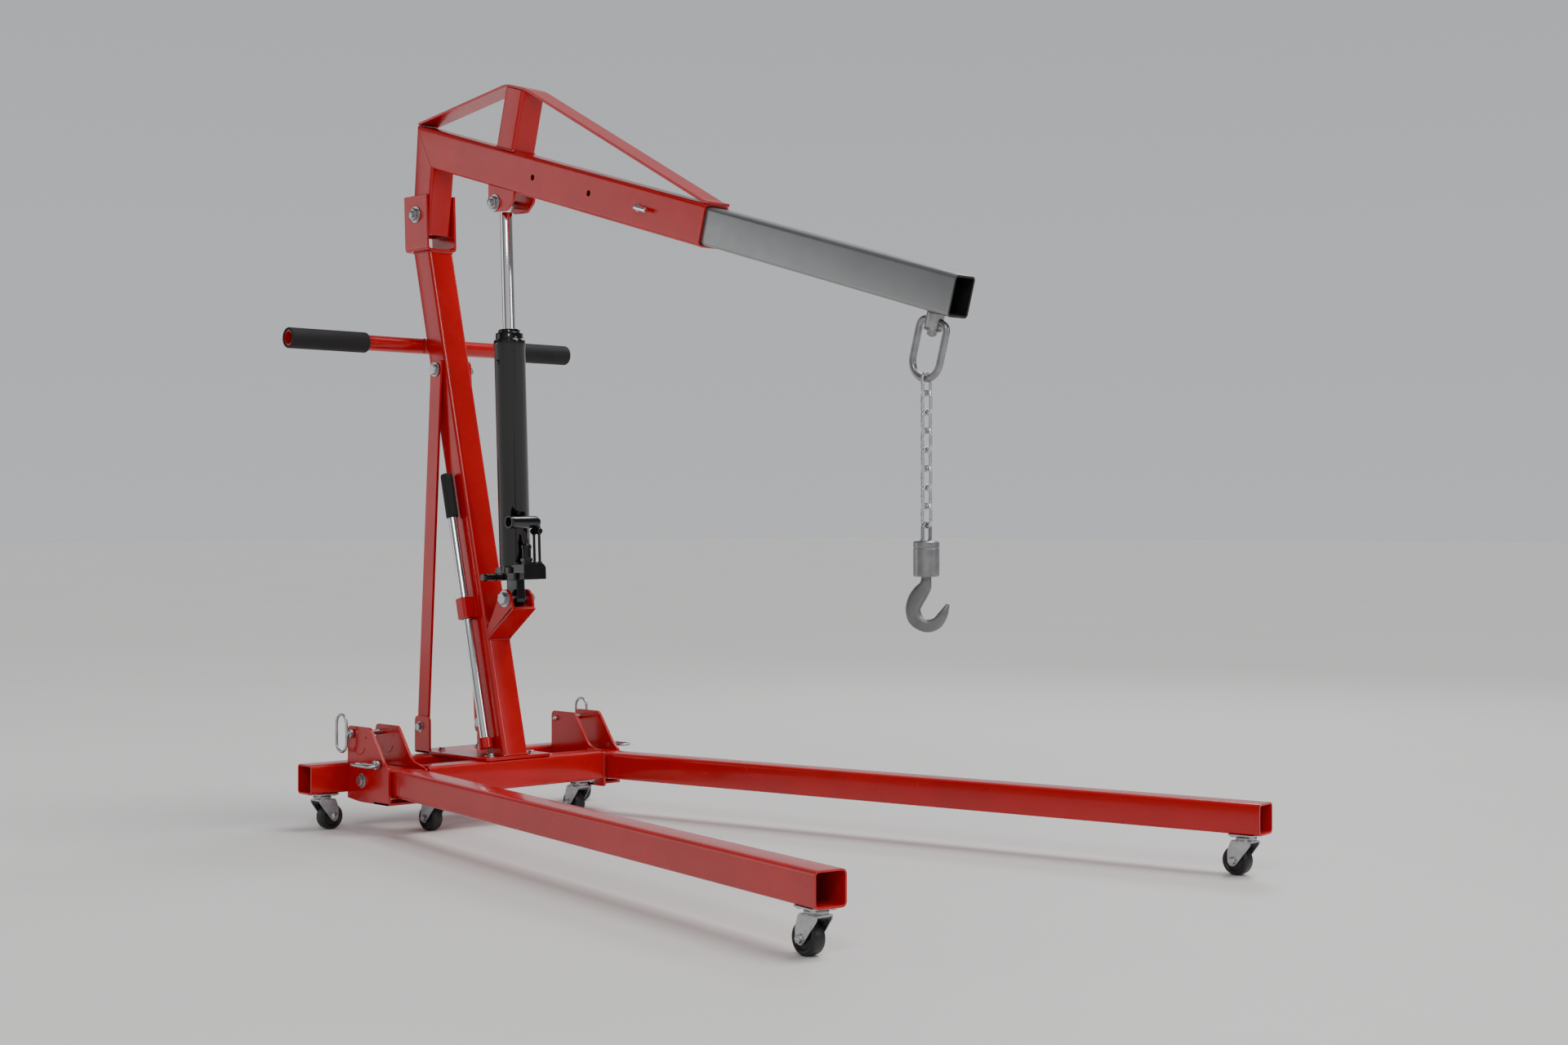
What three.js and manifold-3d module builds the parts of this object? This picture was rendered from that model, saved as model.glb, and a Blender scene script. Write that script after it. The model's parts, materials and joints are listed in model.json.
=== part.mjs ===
// Folding engine hoist crane: a wheeled base with two fold-up legs, a braced leaning mast, a
// hydraulic ram and a telescopic boom that carries a chain and hook.
// Millimetres, +X forward along the boom, +Y to the crane's left, +Z up, floor at Z = 0.
import * as THREE from 'three';
import { mergeVertices } from 'three/addons/utils/BufferGeometryUtils.js';
import Module from 'manifold-3d';

const wasm = await Module();
wasm.setup();

// ---------------------------------------------------------------- driving dimensions
const DATUM_X = 27; // moves the layout datum so that X = 0 is the middle of the footprint
const GAP = 0.3; // paint gap between pieces that touch

const MOUNT_Z = 72; // underside of every base tube, where the casters bolt on
const REAR_BEAM = { x: -757, halfY: 366, width: 50, top: 130, wall: 4 };
const FRONT_BEAM = { x: -582, halfY: 214.6, width: 54, top: 130, wall: 4 };
const BASE_PLATE = { x0: -804, x1: -556, halfY: 80, thick: 6 };
const TAB = { x0: -804, x1: -752, yIn: 75, yOut: 80, top: 206 };

const LEG = { y: 250, size: 54, wall: 4, corner: 8, tailX: -706, bendX: -562, endX: 847, endY: 517 };
const LEG_PIVOT = { x: -680, z: 99, boltR: 6 };
const BRACKET = { yIn: 215, yOut: 285, thick: 6 };
const LOCK_PIN = { x: -622, z: 134, r: 5.5 };
const STOW_PIN = { x: -714, z: 188, r: 5.5 };

const CASTER = { wheelR: 25, wheelW: 24, trail: 17, cheek: 2.5, boltR: 4 };
const CASTERS = [
  { tag: 'rear_right', x: -757, y: -326, yaw: 95 },
  { tag: 'rear_left', x: -757, y: 326, yaw: 170 },
  { tag: 'mid_right', x: -588, y: -176, yaw: 183 },
  { tag: 'mid_left', x: -588, y: 176, yaw: 178 },
  { tag: 'front_right', x: 812, y: -510, yaw: 177 },
  { tag: 'front_left', x: 812, y: 510, yaw: 182 },
];

const MAST = { footX: -595, footZ: 136.6, topZ: 1162.7, lean: 14.2, size: 60, wall: 4, corner: 8 };
const HEAD = { x0: -906, x1: -822, z0: 1163, z1: 1280, yIn: 31.5, thick: 5 };
const BRACE = { topX: -790, topY: 35.6, topZ: 914, footX: -785, footY: 70.8, footZ: 184, width: 36, thick: 6 };
const HANDLE = { x: -853, z: 966, halfY: 344, r: 16, wall: 3, gripR: 21, gripLen: 180 };

const BOOM_SLOPE = 15.92; // degrees below level
const BOOM_REAR_TOP = { x: -872, z: 1428 };
const BOOM = { depth: 78, width: 58, wall: 4, corner: 8, length: 944 };
const NECK = { lean: 5.3, width: 60, endZ: 1197 };
const POST = { s0: 286, size: 60, height: 120 };
const ARM = { depth: 69, width: 48, wall: 4, corner: 7, s0: 735, s1: 1565 };
const PIN_HOLES = [425, 607, 761];
const BOOM_PIVOT = { x: -864, z: 1240, r: 8 };

const RAM_FOOT = { x: -566, z: 449, boltR: 8 };
const RAM_HEAD = { x: -600, z: 1238, boltR: 8 };
const RAM = { bodyR: 31, bodyTop: 520, rodR: 12.5, rodFrom: 300, rodTo: 776, bore: 13.2, boreFrom: 200 };

const TIP = { s: 1518, bossR: 15, barH: -88, wireR: 6, halfW: 30.5, height: 96 };
const CHAIN = { links: 8, wireR: 2.75, innerW: 13, innerL: 31, play: 0.4 };
const LEVER = { y: -47, footX: -601, footZ: 150, length: 566, r: 9, gripR: 12.5, gripLen: 92 };

// ---------------------------------------------------------------- materials
const paint = { color: 0xc01218, roughness: 0.32, metalness: 0.1 };
const greyPaint = { color: 0x6e7074, roughness: 0.45, metalness: 0.4 };
const blackPaint = { color: 0x17181a, roughness: 0.28, metalness: 0.1 };
const zinc = { color: 0xb9bbbe, roughness: 0.35, metalness: 0.9 };
const chrome = { color: 0xe6e8ea, roughness: 0.12, metalness: 1.0 };
const rubber = { color: 0x141414, roughness: 0.75, metalness: 0.0 };

// ---------------------------------------------------------------- solid helpers
const rad = THREE.MathUtils.degToRad;
const vec = (x, y, z) => new THREE.Vector3(x, y, z);
const crane = new THREE.Group();

function solid(geometry) {
  const bare = geometry.index ? geometry.toNonIndexed() : geometry.clone();
  bare.deleteAttribute('normal');
  bare.deleteAttribute('uv');
  const merged = mergeVertices(bare, 1e-4);
  return new wasm.Manifold(new wasm.Mesh({
    numProp: 3,
    vertProperties: new Float32Array(merged.attributes.position.array),
    triVerts: new Uint32Array(merged.index.array),
  }));
}

function add(name, body, look) {
  const cut = body.getMesh();
  const geometry = new THREE.BufferGeometry();
  geometry.setAttribute('position', new THREE.BufferAttribute(new Float32Array(cut.vertProperties), 3));
  geometry.setIndex(new THREE.BufferAttribute(new Uint32Array(cut.triVerts), 1));
  geometry.computeVertexNormals();
  const mesh = new THREE.Mesh(geometry, new THREE.MeshStandardMaterial(look));
  mesh.name = name;
  mesh.position.x = DATUM_X;
  crane.add(mesh);
}

const union = (...parts) => parts.reduce((a, b) => a.add(b));
const carve = (body, ...cuts) => cuts.reduce((a, b) => a.subtract(b), body);

// A frame at origin with local X along xDir and local Z along zDir.
function frame(origin, xDir, zDir) {
  const z = zDir.clone().normalize();
  const x = xDir.clone().normalize();
  const y = z.clone().cross(x);
  return new THREE.Matrix4().makeBasis(x, y, z).setPosition(origin);
}

function box(x0, x1, y0, y1, z0, z1, matrix) {
  const geometry = new THREE.BoxGeometry(x1 - x0, y1 - y0, z1 - z0);
  geometry.translate((x0 + x1) / 2, (y0 + y1) / 2, (z0 + z1) / 2);
  if (matrix) geometry.applyMatrix4(matrix);
  return solid(geometry);
}

function rod(from, to, radius, sides = 12) {
  const along = to.clone().sub(from);
  const geometry = new THREE.CylinderGeometry(radius, radius, along.length(), sides);
  geometry.rotateY(Math.PI / sides);
  const turn = new THREE.Quaternion().setFromUnitVectors(vec(0, 1, 0), along.clone().normalize());
  geometry.applyQuaternion(turn);
  const middle = from.clone().add(to).multiplyScalar(0.5);
  geometry.translate(middle.x, middle.y, middle.z);
  return solid(geometry);
}

const rodY = (x, z, y0, y1, radius, sides) => rod(vec(x, y0, z), vec(x, y1, z), radius, sides);

function roundedRect(width, height, corner) {
  const shape = new THREE.Shape();
  const x = width / 2 - corner;
  const y = height / 2 - corner;
  shape.absarc(x, y, corner, 0, Math.PI / 2);
  shape.absarc(-x, y, corner, Math.PI / 2, Math.PI);
  shape.absarc(-x, -y, corner, Math.PI, Math.PI * 1.5);
  shape.absarc(x, -y, corner, Math.PI * 1.5, Math.PI * 2);
  return shape;
}

// A bar of rounded rectangular section along local +Z.
function bar(width, height, corner, length, matrix) {
  const shape = roundedRect(width, height, corner);
  const geometry = new THREE.ExtrudeGeometry(shape, { depth: length, bevelEnabled: false, curveSegments: 1 });
  geometry.applyMatrix4(matrix);
  return solid(geometry);
}

// A square or rectangular tube with rounded corners, open at both ends.
function boxTube(width, height, corner, wall, length, matrix) {
  const inside = bar(width - 2 * wall, height - 2 * wall, corner / 2, length + 20,
    matrix.clone().multiply(new THREE.Matrix4().makeTranslation(0, 0, -10)));
  return bar(width, height, corner, length, matrix).subtract(inside);
}

// A flat plate with its outline in X and Z, from y0 to y1.
function plateXZ(outline, y0, y1) {
  const shape = new THREE.Shape(outline.map(([x, z]) => new THREE.Vector2(x, z)));
  const geometry = new THREE.ExtrudeGeometry(shape, { depth: y1 - y0, bevelEnabled: false });
  const toWorld = new THREE.Matrix4().makeBasis(vec(1, 0, 0), vec(0, 0, 1), vec(0, -1, 0));
  geometry.applyMatrix4(toWorld.setPosition(vec(0, y1, 0)));
  return solid(geometry);
}

// A round wire along a path of points with filleted corners.
function wire(points, radius, fillet, steps, sides = 3) {
  const path = new THREE.CurvePath();
  let last = points[0];
  for (let i = 1; i < points.length - 1; i += 1) {
    const corner = points[i];
    const back = last.clone().sub(corner).setLength(fillet).add(corner);
    const ahead = points[i + 1].clone().sub(corner).setLength(fillet).add(corner);
    path.add(new THREE.LineCurve3(last, back));
    path.add(new THREE.QuadraticBezierCurve3(back, corner, ahead));
    last = ahead;
  }
  path.add(new THREE.LineCurve3(last, points[points.length - 1]));
  const section = new THREE.Shape();
  section.absarc(0, 0, radius, 0, Math.PI * 2);
  const settings = { steps, bevelEnabled: false, extrudePath: path, curveSegments: sides };
  return solid(new THREE.ExtrudeGeometry(section, settings));
}

// Half of a ring of wire in the local XZ plane: the lower half, or the upper half.
function halfRing(ringR, wireR, upper, matrix, around = 9, turns = 20) {
  const ring = new THREE.TorusGeometry(ringR, wireR, around, turns);
  ring.rotateX(Math.PI / 2);
  const reach = ringR + wireR + 1;
  const keep = upper ? box(-reach, reach, -reach, reach, 0, reach) : box(-reach, reach, -reach, reach, -reach, 0);
  return solid(ring).intersect(keep).transform(matrix.toArray());
}

function lathe(profile, matrix, sides = 24) {
  const points = profile.map(([r, h]) => new THREE.Vector2(r, h));
  const geometry = new THREE.LatheGeometry(points, sides);
  geometry.rotateX(Math.PI / 2);
  geometry.applyMatrix4(matrix);
  return solid(geometry);
}

// A hexagon bolt along Y with its head at yHead, and its nut at yNut.
function boltY(x, z, yHead, yNut, radius) {
  const out = Math.sign(yHead - yNut);
  const head = rodY(x, z, yHead, yHead + out * radius, radius * 1.75, 6);
  const nut = rodY(x, z, yNut, yNut - out * radius, radius * 1.75, 6);
  const shank = rodY(x, z, yHead + out, yNut - out * (radius + 4), radius, 12);
  return union(shank, head, nut);
}

// ---------------------------------------------------------------- frames used by the boom and ram
const slope = rad(BOOM_SLOPE);
const boomAlong = vec(Math.cos(slope), 0, -Math.sin(slope));
const boomUp = vec(Math.sin(slope), 0, Math.cos(slope));
const boomPoint = (s, h, y = 0) => vec(BOOM_REAR_TOP.x, y, BOOM_REAR_TOP.z)
  .addScaledVector(boomAlong, s).addScaledVector(boomUp, h);
// Local X along the boom, local Y to the left, local Z square to the boom.
const boomFrame = frame(boomPoint(0, 0), boomAlong, boomUp);

const ramFoot = vec(RAM_FOOT.x, 0, RAM_FOOT.z);
const ramAxis = vec(RAM_HEAD.x, 0, RAM_HEAD.z).sub(ramFoot).normalize();
const ramAcross = vec(ramAxis.z, 0, -ramAxis.x);
const ramFrame = frame(ramFoot, ramAcross, ramAxis);
const ramPoint = (x, y, s) => vec(x, y, s).applyMatrix4(ramFrame);

const mastAxis = vec(-Math.sin(rad(MAST.lean)), 0, Math.cos(rad(MAST.lean)));
const mastFoot = vec(MAST.footX, 0, MAST.footZ);
const mastAt = (z) => MAST.footX - Math.tan(rad(MAST.lean)) * (z - MAST.footZ);
const mastAcross = vec(mastAxis.z, 0, -mastAxis.x);

// ---------------------------------------------------------------- base
function crossBeam({ x, halfY, width, top, wall }) {
  const height = top - MOUNT_Z;
  const start = frame(vec(x, -halfY, (top + MOUNT_Z) / 2), vec(1, 0, 0), vec(0, 1, 0));
  return boxTube(width, height, 7, wall, halfY * 2, start);
}

function basePlate() {
  const z0 = REAR_BEAM.top + GAP;
  const z1 = z0 + BASE_PLATE.thick;
  const parts = [box(BASE_PLATE.x0, BASE_PLATE.x1, -BASE_PLATE.halfY, BASE_PLATE.halfY, z0, z1 - 0.6)];
  for (const side of [-1, 1]) {
    const tab = plateXZ([[TAB.x0, z0 + 1], [TAB.x1, z0 + 1], [TAB.x1, TAB.top], [TAB.x0, TAB.top]],
      side > 0 ? TAB.yIn : -TAB.yOut, side > 0 ? TAB.yOut : -TAB.yIn);
    parts.push(tab);
  }
  const foot = leverPoint(-13);
  const cup = rod(leverPoint(-18), leverPoint(22), 14, 12);
  const floor = box(foot.x - 60, foot.x + 60, -80, -20, 60, z0 + 1);
  parts.push(cup.subtract(floor));
  return carve(union(...parts), rod(leverPoint(-2), leverPoint(60), LEVER.r + 0.6, 12));
}

function legBracket(side) {
  const { yIn, yOut, thick } = BRACKET;
  const back = REAR_BEAM.x + REAR_BEAM.width / 2 + GAP;
  const outline = (frontX) => [[back, 62], [-690, 57], [frontX, 57], [frontX, 127], [-605, 138],
    [-651, 199], [-657, 203], [back + 6, 203], [back, 197]];
  const spans = [[yOut - thick, yOut, -588], [yIn, yIn + thick, -556]];
  const plates = spans.map(([a, b, frontX]) => plateXZ(outline(frontX), side > 0 ? a : -b, side > 0 ? b : -a));
  const web = box(-640, -588, Math.min(side * yIn, side * yOut), Math.max(side * yIn, side * yOut), 57, 62);
  const reach = [side * (yIn - 10), side * (yOut + 10)];
  const body = union(...plates, web);
  return carve(body,
    rodY(LEG_PIVOT.x, LEG_PIVOT.z, ...reach, LEG_PIVOT.boltR + GAP, 12),
    rodY(LOCK_PIN.x, LOCK_PIN.z, ...reach, LOCK_PIN.r + 0.5, 12),
    rodY(STOW_PIN.x, STOW_PIN.z, ...reach, STOW_PIN.r + 0.5, 12));
}

// A leg: a short straight stub in the bracket, then a long tube that runs out to the side.
function leg(side) {
  const z = LEG_PIVOT.z;
  const bend = vec(LEG.bendX, side * LEG.y, z);
  const end = vec(LEG.endX, side * LEG.endY, z);
  const out = end.clone().sub(bend).normalize();
  const mitre = vec(1, 0, 0).add(out).normalize();
  const mitreFrame = frame(bend, mitre, vec(0, 0, 1));
  const ahead = box(-0.05, 3000, -200, 200, -200, 200, mitreFrame);
  const behind = box(-3000, 0, -200, 200, -200, 200, mitreFrame);
  const stubFrame = frame(vec(LEG.tailX, side * LEG.y, z), vec(0, 1, 0), vec(1, 0, 0));
  const runFrame = frame(bend.clone().addScaledVector(out, -60), vec(0, 0, 1).cross(out), out);
  const runLength = end.distanceTo(bend) + 60;
  const { size, corner, wall } = LEG;
  const stubLength = LEG.bendX - LEG.tailX + 60;
  const outer = union(bar(size, size, corner, stubLength, stubFrame).intersect(behind),
    bar(size, size, corner, runLength, runFrame).intersect(ahead));
  const hollow = size - 2 * wall;
  const innerStub = bar(hollow, hollow, corner / 2, stubLength + 20,
    frame(vec(LEG.tailX - 10, side * LEG.y, z), vec(0, 1, 0), vec(1, 0, 0)));
  const innerRun = bar(hollow, hollow, corner / 2, runLength + 20, runFrame);
  const inner = union(innerStub.intersect(behind), innerRun.intersect(ahead));
  const reach = [side * (LEG.y - 60), side * (LEG.y + 60)];
  return carve(outer, inner, rodY(LEG_PIVOT.x, z, ...reach, LEG_PIVOT.boltR + 0.4, 12));
}

// A ring pin that enters a plate at face and points along inward, with its ring outside.
function ringPin(at, face, inner, side, ringUp) {
  const outer = face + side * 14;
  const shank = rodY(at.x, at.z, inner, outer, at.r, 12);
  const head = rodY(at.x, at.z, face + side * 1, face + side * 9, at.r + 3.5, 12);
  const y = outer - side * 2;
  const long = ringUp ? vec(0, 0, 1) : vec(-1, 0, 0);
  const wide = ringUp ? vec(-1, 0, 0) : vec(0, side, 0);
  const corner = (a, b) => vec(at.x, y, at.z).addScaledVector(wide, a).addScaledVector(long, b);
  const [near, far] = ringUp ? [2, 38] : [0, 26];
  const [low, high] = ringUp ? [-36, 36] : [-24, 44];
  const half = (b0) => wire([corner(near, 5.2), corner(near, b0), corner(far, b0), corner(far, 4.8)], 2.2, 17, 8);
  const other = wire([corner(near, 5.8), corner(near, low), corner(far, low), corner(far, 5.2)], 2.2, 17, 8);
  return union(shank, head, half(high), other);
}

// ---------------------------------------------------------------- casters
function caster({ tag, x, y, yaw }) {
  const turn = new THREE.Matrix4().makeRotationZ(rad(yaw)).setPosition(vec(x, y, 0));
  const local = (a, b, c) => vec(a, b, c).applyMatrix4(turn);
  const top = MOUNT_Z - 4.2;
  const axleZ = CASTER.wheelR;
  const half = CASTER.wheelW / 2 + 1.4;
  const t = CASTER.trail;
  const cheekShape = [[-17, top - 9], [-17, top - 12], [t - 8, axleZ - 4], [t - 3, axleZ - 9], [t + 4, axleZ - 9],
    [t + 10, axleZ - 3], [t + 10, axleZ + 20], [t + 2, top - 9]];
  const parts = [
    rod(local(0, 0, top - 8), local(0, 0, top), 17.5, 12),
    box(-17, t + 4, -half - CASTER.cheek, half + CASTER.cheek, top - 10.5, top - 7.5, turn),
    rod(local(t, -half - 5, axleZ), local(t, half + 5, axleZ), CASTER.boltR, 10),
    rod(local(t, -half - 6.5, axleZ), local(t, -half - 2, axleZ), 6.8, 6),
    rod(local(t, half + 2, axleZ), local(t, half + 6.5, axleZ), 6.8, 6),
  ];
  for (const side of [-1, 1]) {
    const y0 = side > 0 ? half : -half - CASTER.cheek;
    const flat = plateXZ(cheekShape, y0, y0 + CASTER.cheek);
    parts.push(flat.transform(turn.toArray()));
  }
  add(`caster_fork_${tag}`, union(...parts), zinc);
  const bore = CASTER.boltR + 0.3;
  const w = CASTER.wheelW / 2;
  const R = CASTER.wheelR;
  const profile = [[bore, -w], [R - 4, -w], [R, -w + 5], [R, w - 5], [R - 4, w], [bore, w], [bore, -w]];
  const axle = frame(local(t, 0, axleZ), vec(0, 0, 1), vec(0, 1, 0).transformDirection(turn));
  add(`caster_wheel_${tag}`, lathe(profile, axle, 16), rubber);
}

// ---------------------------------------------------------------- mast
function mast() {
  const start = frame(mastFoot.clone().addScaledVector(mastAxis, -60), mastAcross, mastAxis);
  const tube = boxTube(MAST.size, MAST.size, MAST.corner, MAST.wall, 1200, start);
  const keep = box(-1500, 0, -100, 100, MAST.footZ, MAST.topZ);
  return tube.intersect(keep).subtract(rodY(BRACE.topX, BRACE.topZ, -60, 60, 6.4, 12));
}

function mastHead() {
  const { x0, x1, z0, z1, yIn, thick } = HEAD;
  const outer = yIn + thick;
  const body = union(
    box(x0, x1, yIn, outer, z0, z1),
    box(x0, x1, -outer, -yIn, z0, z1),
    box(x0, x1, -outer, outer, z0, z0 + thick),
  );
  return body.subtract(rodY(BOOM_PIVOT.x, BOOM_PIVOT.z, -60, 60, BOOM_PIVOT.r + GAP, 12));
}

// A flat bar on one side of the mast, from the mast down to the base plate's tab.
function brace(side) {
  const top = vec(BRACE.topX, side * BRACE.topY, BRACE.topZ);
  const foot = vec(BRACE.footX, side * BRACE.footY, BRACE.footZ);
  const up = top.clone().sub(foot);
  const across = vec(1, 0, 0).addScaledVector(up, -up.x / up.lengthSq()).normalize();
  const place = frame(foot, across, up);
  const w = BRACE.width / 2;
  const h = BRACE.thick / 2;
  const flat = box(-w, w, -h, h, -22, up.length() + 20, place);
  return flat.subtract(rodY(top.x, top.z, side * 20, side * 60, 6.5, 12));
}

function ramBracket() {
  const face = (z) => mastAt(z) + (MAST.size / 2) / Math.cos(rad(MAST.lean)) + 0.5;
  const web = plateXZ([[face(372), 372], [face(366), 366], [-538, 428], [-543, 433]], -28, 28);
  const ear = [[face(384) - 0, 384], [face(371), 371], [-541, 430], [-545, 446], [-550, 458], [-560, 467],
    [-572, 467], [-582, 460], [-588, 448]];
  const body = union(web, plateXZ(ear, 22, 28), plateXZ(ear, -28, -22));
  return body.subtract(rodY(RAM_FOOT.x, RAM_FOOT.z, -60, 60, RAM_FOOT.boltR + GAP, 12));
}

function pushHandle() {
  const { x, z, halfY, r, wall } = HANDLE;
  return rodY(x, z, -halfY, halfY, r, 16).subtract(rodY(x, z, -halfY - 10, halfY + 10, r - wall, 12));
}

function handleGrip(side) {
  const { x, z, halfY, r, gripR, gripLen } = HANDLE;
  const out = side * (halfY + 2);
  const inner = side * (halfY + 2 - gripLen);
  return rodY(x, z, inner, out, gripR, 16).subtract(rodY(x, z, inner - side * 10, out + side * 10, r + GAP, 16));
}

// ---------------------------------------------------------------- boom
function boomArm() {
  const depth = BOOM.depth;
  const down = vec(-Math.sin(rad(NECK.lean)), 0, -Math.cos(rad(NECK.lean)));
  const across = vec(Math.cos(rad(NECK.lean)), 0, -Math.sin(rad(NECK.lean)));
  const rearTop = boomPoint(0, 0);
  const inner = vec(-822, 0, 1339);
  const mitre = inner.clone().sub(rearTop).normalize();
  const mitreFrame = frame(rearTop, vec(-mitre.z, 0, mitre.x), mitre.clone().negate());
  const ahead = box(-0.05, 3000, -200, 200, -800, 800, mitreFrame);
  const behind = box(-3000, 0, -200, 200, -800, 800, mitreFrame);
  const neckLength = 300;
  const neckCentre = rearTop.clone().addScaledVector(across, NECK.width / 2).addScaledVector(down, -60);
  const neckFrame = frame(neckCentre, vec(0, 1, 0), down);
  const { width, wall, corner, length } = BOOM;
  const mainFrame = frame(boomPoint(-60, -depth / 2), vec(0, 1, 0), boomAlong);
  const cutLow = box(-1000, -700, -100, 100, NECK.endZ, 2000);
  const outer = union(
    bar(width, NECK.width, corner, neckLength, neckFrame).intersect(behind).intersect(cutLow),
    bar(width, depth, corner, length + 60, mainFrame).intersect(ahead),
  );
  const thin = 2 * wall;
  const hollow = union(
    bar(width - thin, NECK.width - thin, corner / 2, neckLength + 20, neckFrame).intersect(behind),
    bar(width - thin, depth - thin, corner / 2, length + 90, mainFrame).intersect(ahead),
  );
  const tube = outer.subtract(hollow);
  const postFrame = frame(boomPoint(POST.s0 + POST.size / 2, -2), boomAlong, boomUp);
  const post = boxTube(POST.size, width - 2, corner, wall, POST.height + 2, postFrame);
  const clevis = [[-622, 1279], [-622, 1246], [-606, 1220], [-562, 1218], [-540, 1236], [-537, 1255]];
  const ears = [plateXZ(clevis, 22, 27.5), plateXZ(clevis, -27.5, -22)];
  const holes = PIN_HOLES.map((s) => rodY(boomPoint(s, -39).x, boomPoint(s, -39).z, -60, 60, 6, 12));
  return carve(union(tube, post, ...ears.map((ear) => ear.subtract(hollow))),
    rodY(BOOM_PIVOT.x, BOOM_PIVOT.z, -60, 60, BOOM_PIVOT.r + 0.5, 12),
    rodY(RAM_HEAD.x, RAM_HEAD.z, -60, 60, RAM_HEAD.boltR + GAP, 12),
    ...holes);
}

// The flat strap from the rear of the boom, over the post, down to the boom's front end.
function tieStrap() {
  const low = GAP;
  const high = POST.height + GAP;
  const t = 5;
  const a = POST.s0 - 1;
  const b = POST.s0 + POST.size + 1;
  const outline = [[2, low], [a, high], [b, high], [930, low], [948, low], [948, low + 1.5], [b + 1, high + t],
    [a - 2, high + t], [0, low + t]];
  const world = outline.map(([s, h]) => {
    const p = boomPoint(s, h);
    return [p.x, p.z];
  });
  return plateXZ(world.reverse(), -25, 25);
}

function extensionArm() {
  const centre = -BOOM.depth / 2;
  const start = frame(boomPoint(ARM.s0, centre), vec(0, 1, 0), boomAlong);
  const tube = boxTube(ARM.width, ARM.depth, ARM.corner, ARM.wall, ARM.s1 - ARM.s0, start);
  const hole = boomPoint(PIN_HOLES[2], centre);
  return tube.subtract(rodY(hole.x, hole.z, -60, 60, 6, 12));
}

function extensionPin() {
  const hole = boomPoint(PIN_HOLES[2], -BOOM.depth / 2);
  const outside = -BOOM.width / 2;
  const tip = vec(hole.x, outside + BOOM.wall - 0.5, hole.z);
  const knee = vec(hole.x, outside - 12, hole.z);
  const end = knee.clone().addScaledVector(boomAlong, 36);
  return wire([tip, knee, end], 4.6, 8, 8, 5);
}

// ---------------------------------------------------------------- lifting tackle
function swivelBoss() {
  const top = -(BOOM.depth + ARM.depth) / 2 - GAP;
  const boss = union(
    rod(boomPoint(TIP.s, top), boomPoint(TIP.s, top - 31), TIP.bossR, 12),
    rod(boomPoint(TIP.s, top - 30), boomPoint(TIP.s, top - 40), 7, 12),
  );
  return boss.subtract(rod(boomPoint(TIP.s - 30, TIP.barH), boomPoint(TIP.s + 30, TIP.barH), TIP.wireR + 0.5, 12));
}

function bowLink() {
  const { s, barH, halfW, height, wireR } = TIP;
  const bend = 14;
  const lowCentre = barH - height + halfW;
  const lower = halfRing(halfW, wireR, false, boomFrame.clone().multiply(
    new THREE.Matrix4().makeTranslation(s, 0, lowCentre)), 10, 12);
  const p = (a, h) => boomPoint(s + a, h);
  const upper = wire([p(-halfW, lowCentre - 0.3), p(-halfW, barH), p(halfW, barH), p(halfW, lowCentre - 0.3)],
    wireR, bend, 16, 5);
  return union(lower, upper);
}

// One chain link standing in the XZ plane, or in the YZ plane when crossed.
function chainLink(x, topZ, crossed) {
  const { wireR, innerW, innerL } = CHAIN;
  const ringR = innerW / 2 + wireR;
  const straight = innerL - innerW;
  const turn = new THREE.Matrix4().makeRotationZ(crossed ? Math.PI / 2 : 0);
  const at = (z) => turn.clone().setPosition(vec(x, 0, z));
  const upZ = topZ - ringR;
  const lowZ = upZ - straight;
  const side = (a) => {
    const foot = vec(a, 0, 0).applyMatrix4(at(0));
    return rod(vec(foot.x, foot.y, lowZ - 0.1), vec(foot.x, foot.y, upZ + 0.1), wireR, 6);
  };
  return union(halfRing(ringR, wireR, true, at(upZ), 6, 12), halfRing(ringR, wireR, false, at(lowZ), 6, 12),
    side(-ringR), side(ringR));
}

function swivelCollar(x, bailZ, topZ, bottomZ) {
  const bail = halfRing(9, 3, true, new THREE.Matrix4().makeRotationZ(Math.PI / 2).setPosition(vec(x, 0, bailZ - 9)),
    8, 12);
  const legs = [-9, 9].map((y) => rod(vec(x, y, topZ - 6), vec(x, y, bailZ - 8.9), 3, 10));
  const body = lathe([[0, bottomZ], [20, bottomZ], [21.5, bottomZ + 2], [21.5, topZ - 2], [20, topZ], [0, topZ]],
    new THREE.Matrix4().makeTranslation(x, 0, 0), 16);
  return carve(union(bail, ...legs, body), rod(vec(x, 0, bottomZ - 1), vec(x, 0, bottomZ + 14), 9.3, 12));
}

function hookBody(x, topZ) {
  const yaw = rad(30);
  const outline = new THREE.Shape();
  outline.moveTo(-8.5, -1);
  outline.lineTo(-8.5, -9);
  outline.bezierCurveTo(-27, -22, -34, -38, -34, -52);
  outline.bezierCurveTo(-34, -74, -18, -91, 3, -91);
  outline.bezierCurveTo(20, -91, 32, -78, 36, -56);
  outline.lineTo(39, -44);
  outline.lineTo(33, -44);
  outline.bezierCurveTo(26, -50, 20, -58, 14, -66);
  outline.bezierCurveTo(8, -71, -8, -70, -11, -54);
  outline.bezierCurveTo(-13, -40, 0, -34, 6, -24);
  outline.bezierCurveTo(8, -18, 8.5, -12, 8.5, -1);
  const flat = new THREE.ExtrudeGeometry(outline, {
    depth: 14, bevelEnabled: true, bevelThickness: 3, bevelSize: 2.5, bevelOffset: -2.5, bevelSegments: 1,
    curveSegments: 4,
  });
  flat.translate(0, 0, -7);
  flat.rotateX(Math.PI / 2);
  flat.rotateZ(yaw);
  flat.translate(x, 0, topZ);
  const neck = rod(vec(x, 0, topZ - 10), vec(x, 0, topZ + 12), 8.6, 12);
  return union(solid(flat), neck);
}

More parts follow.
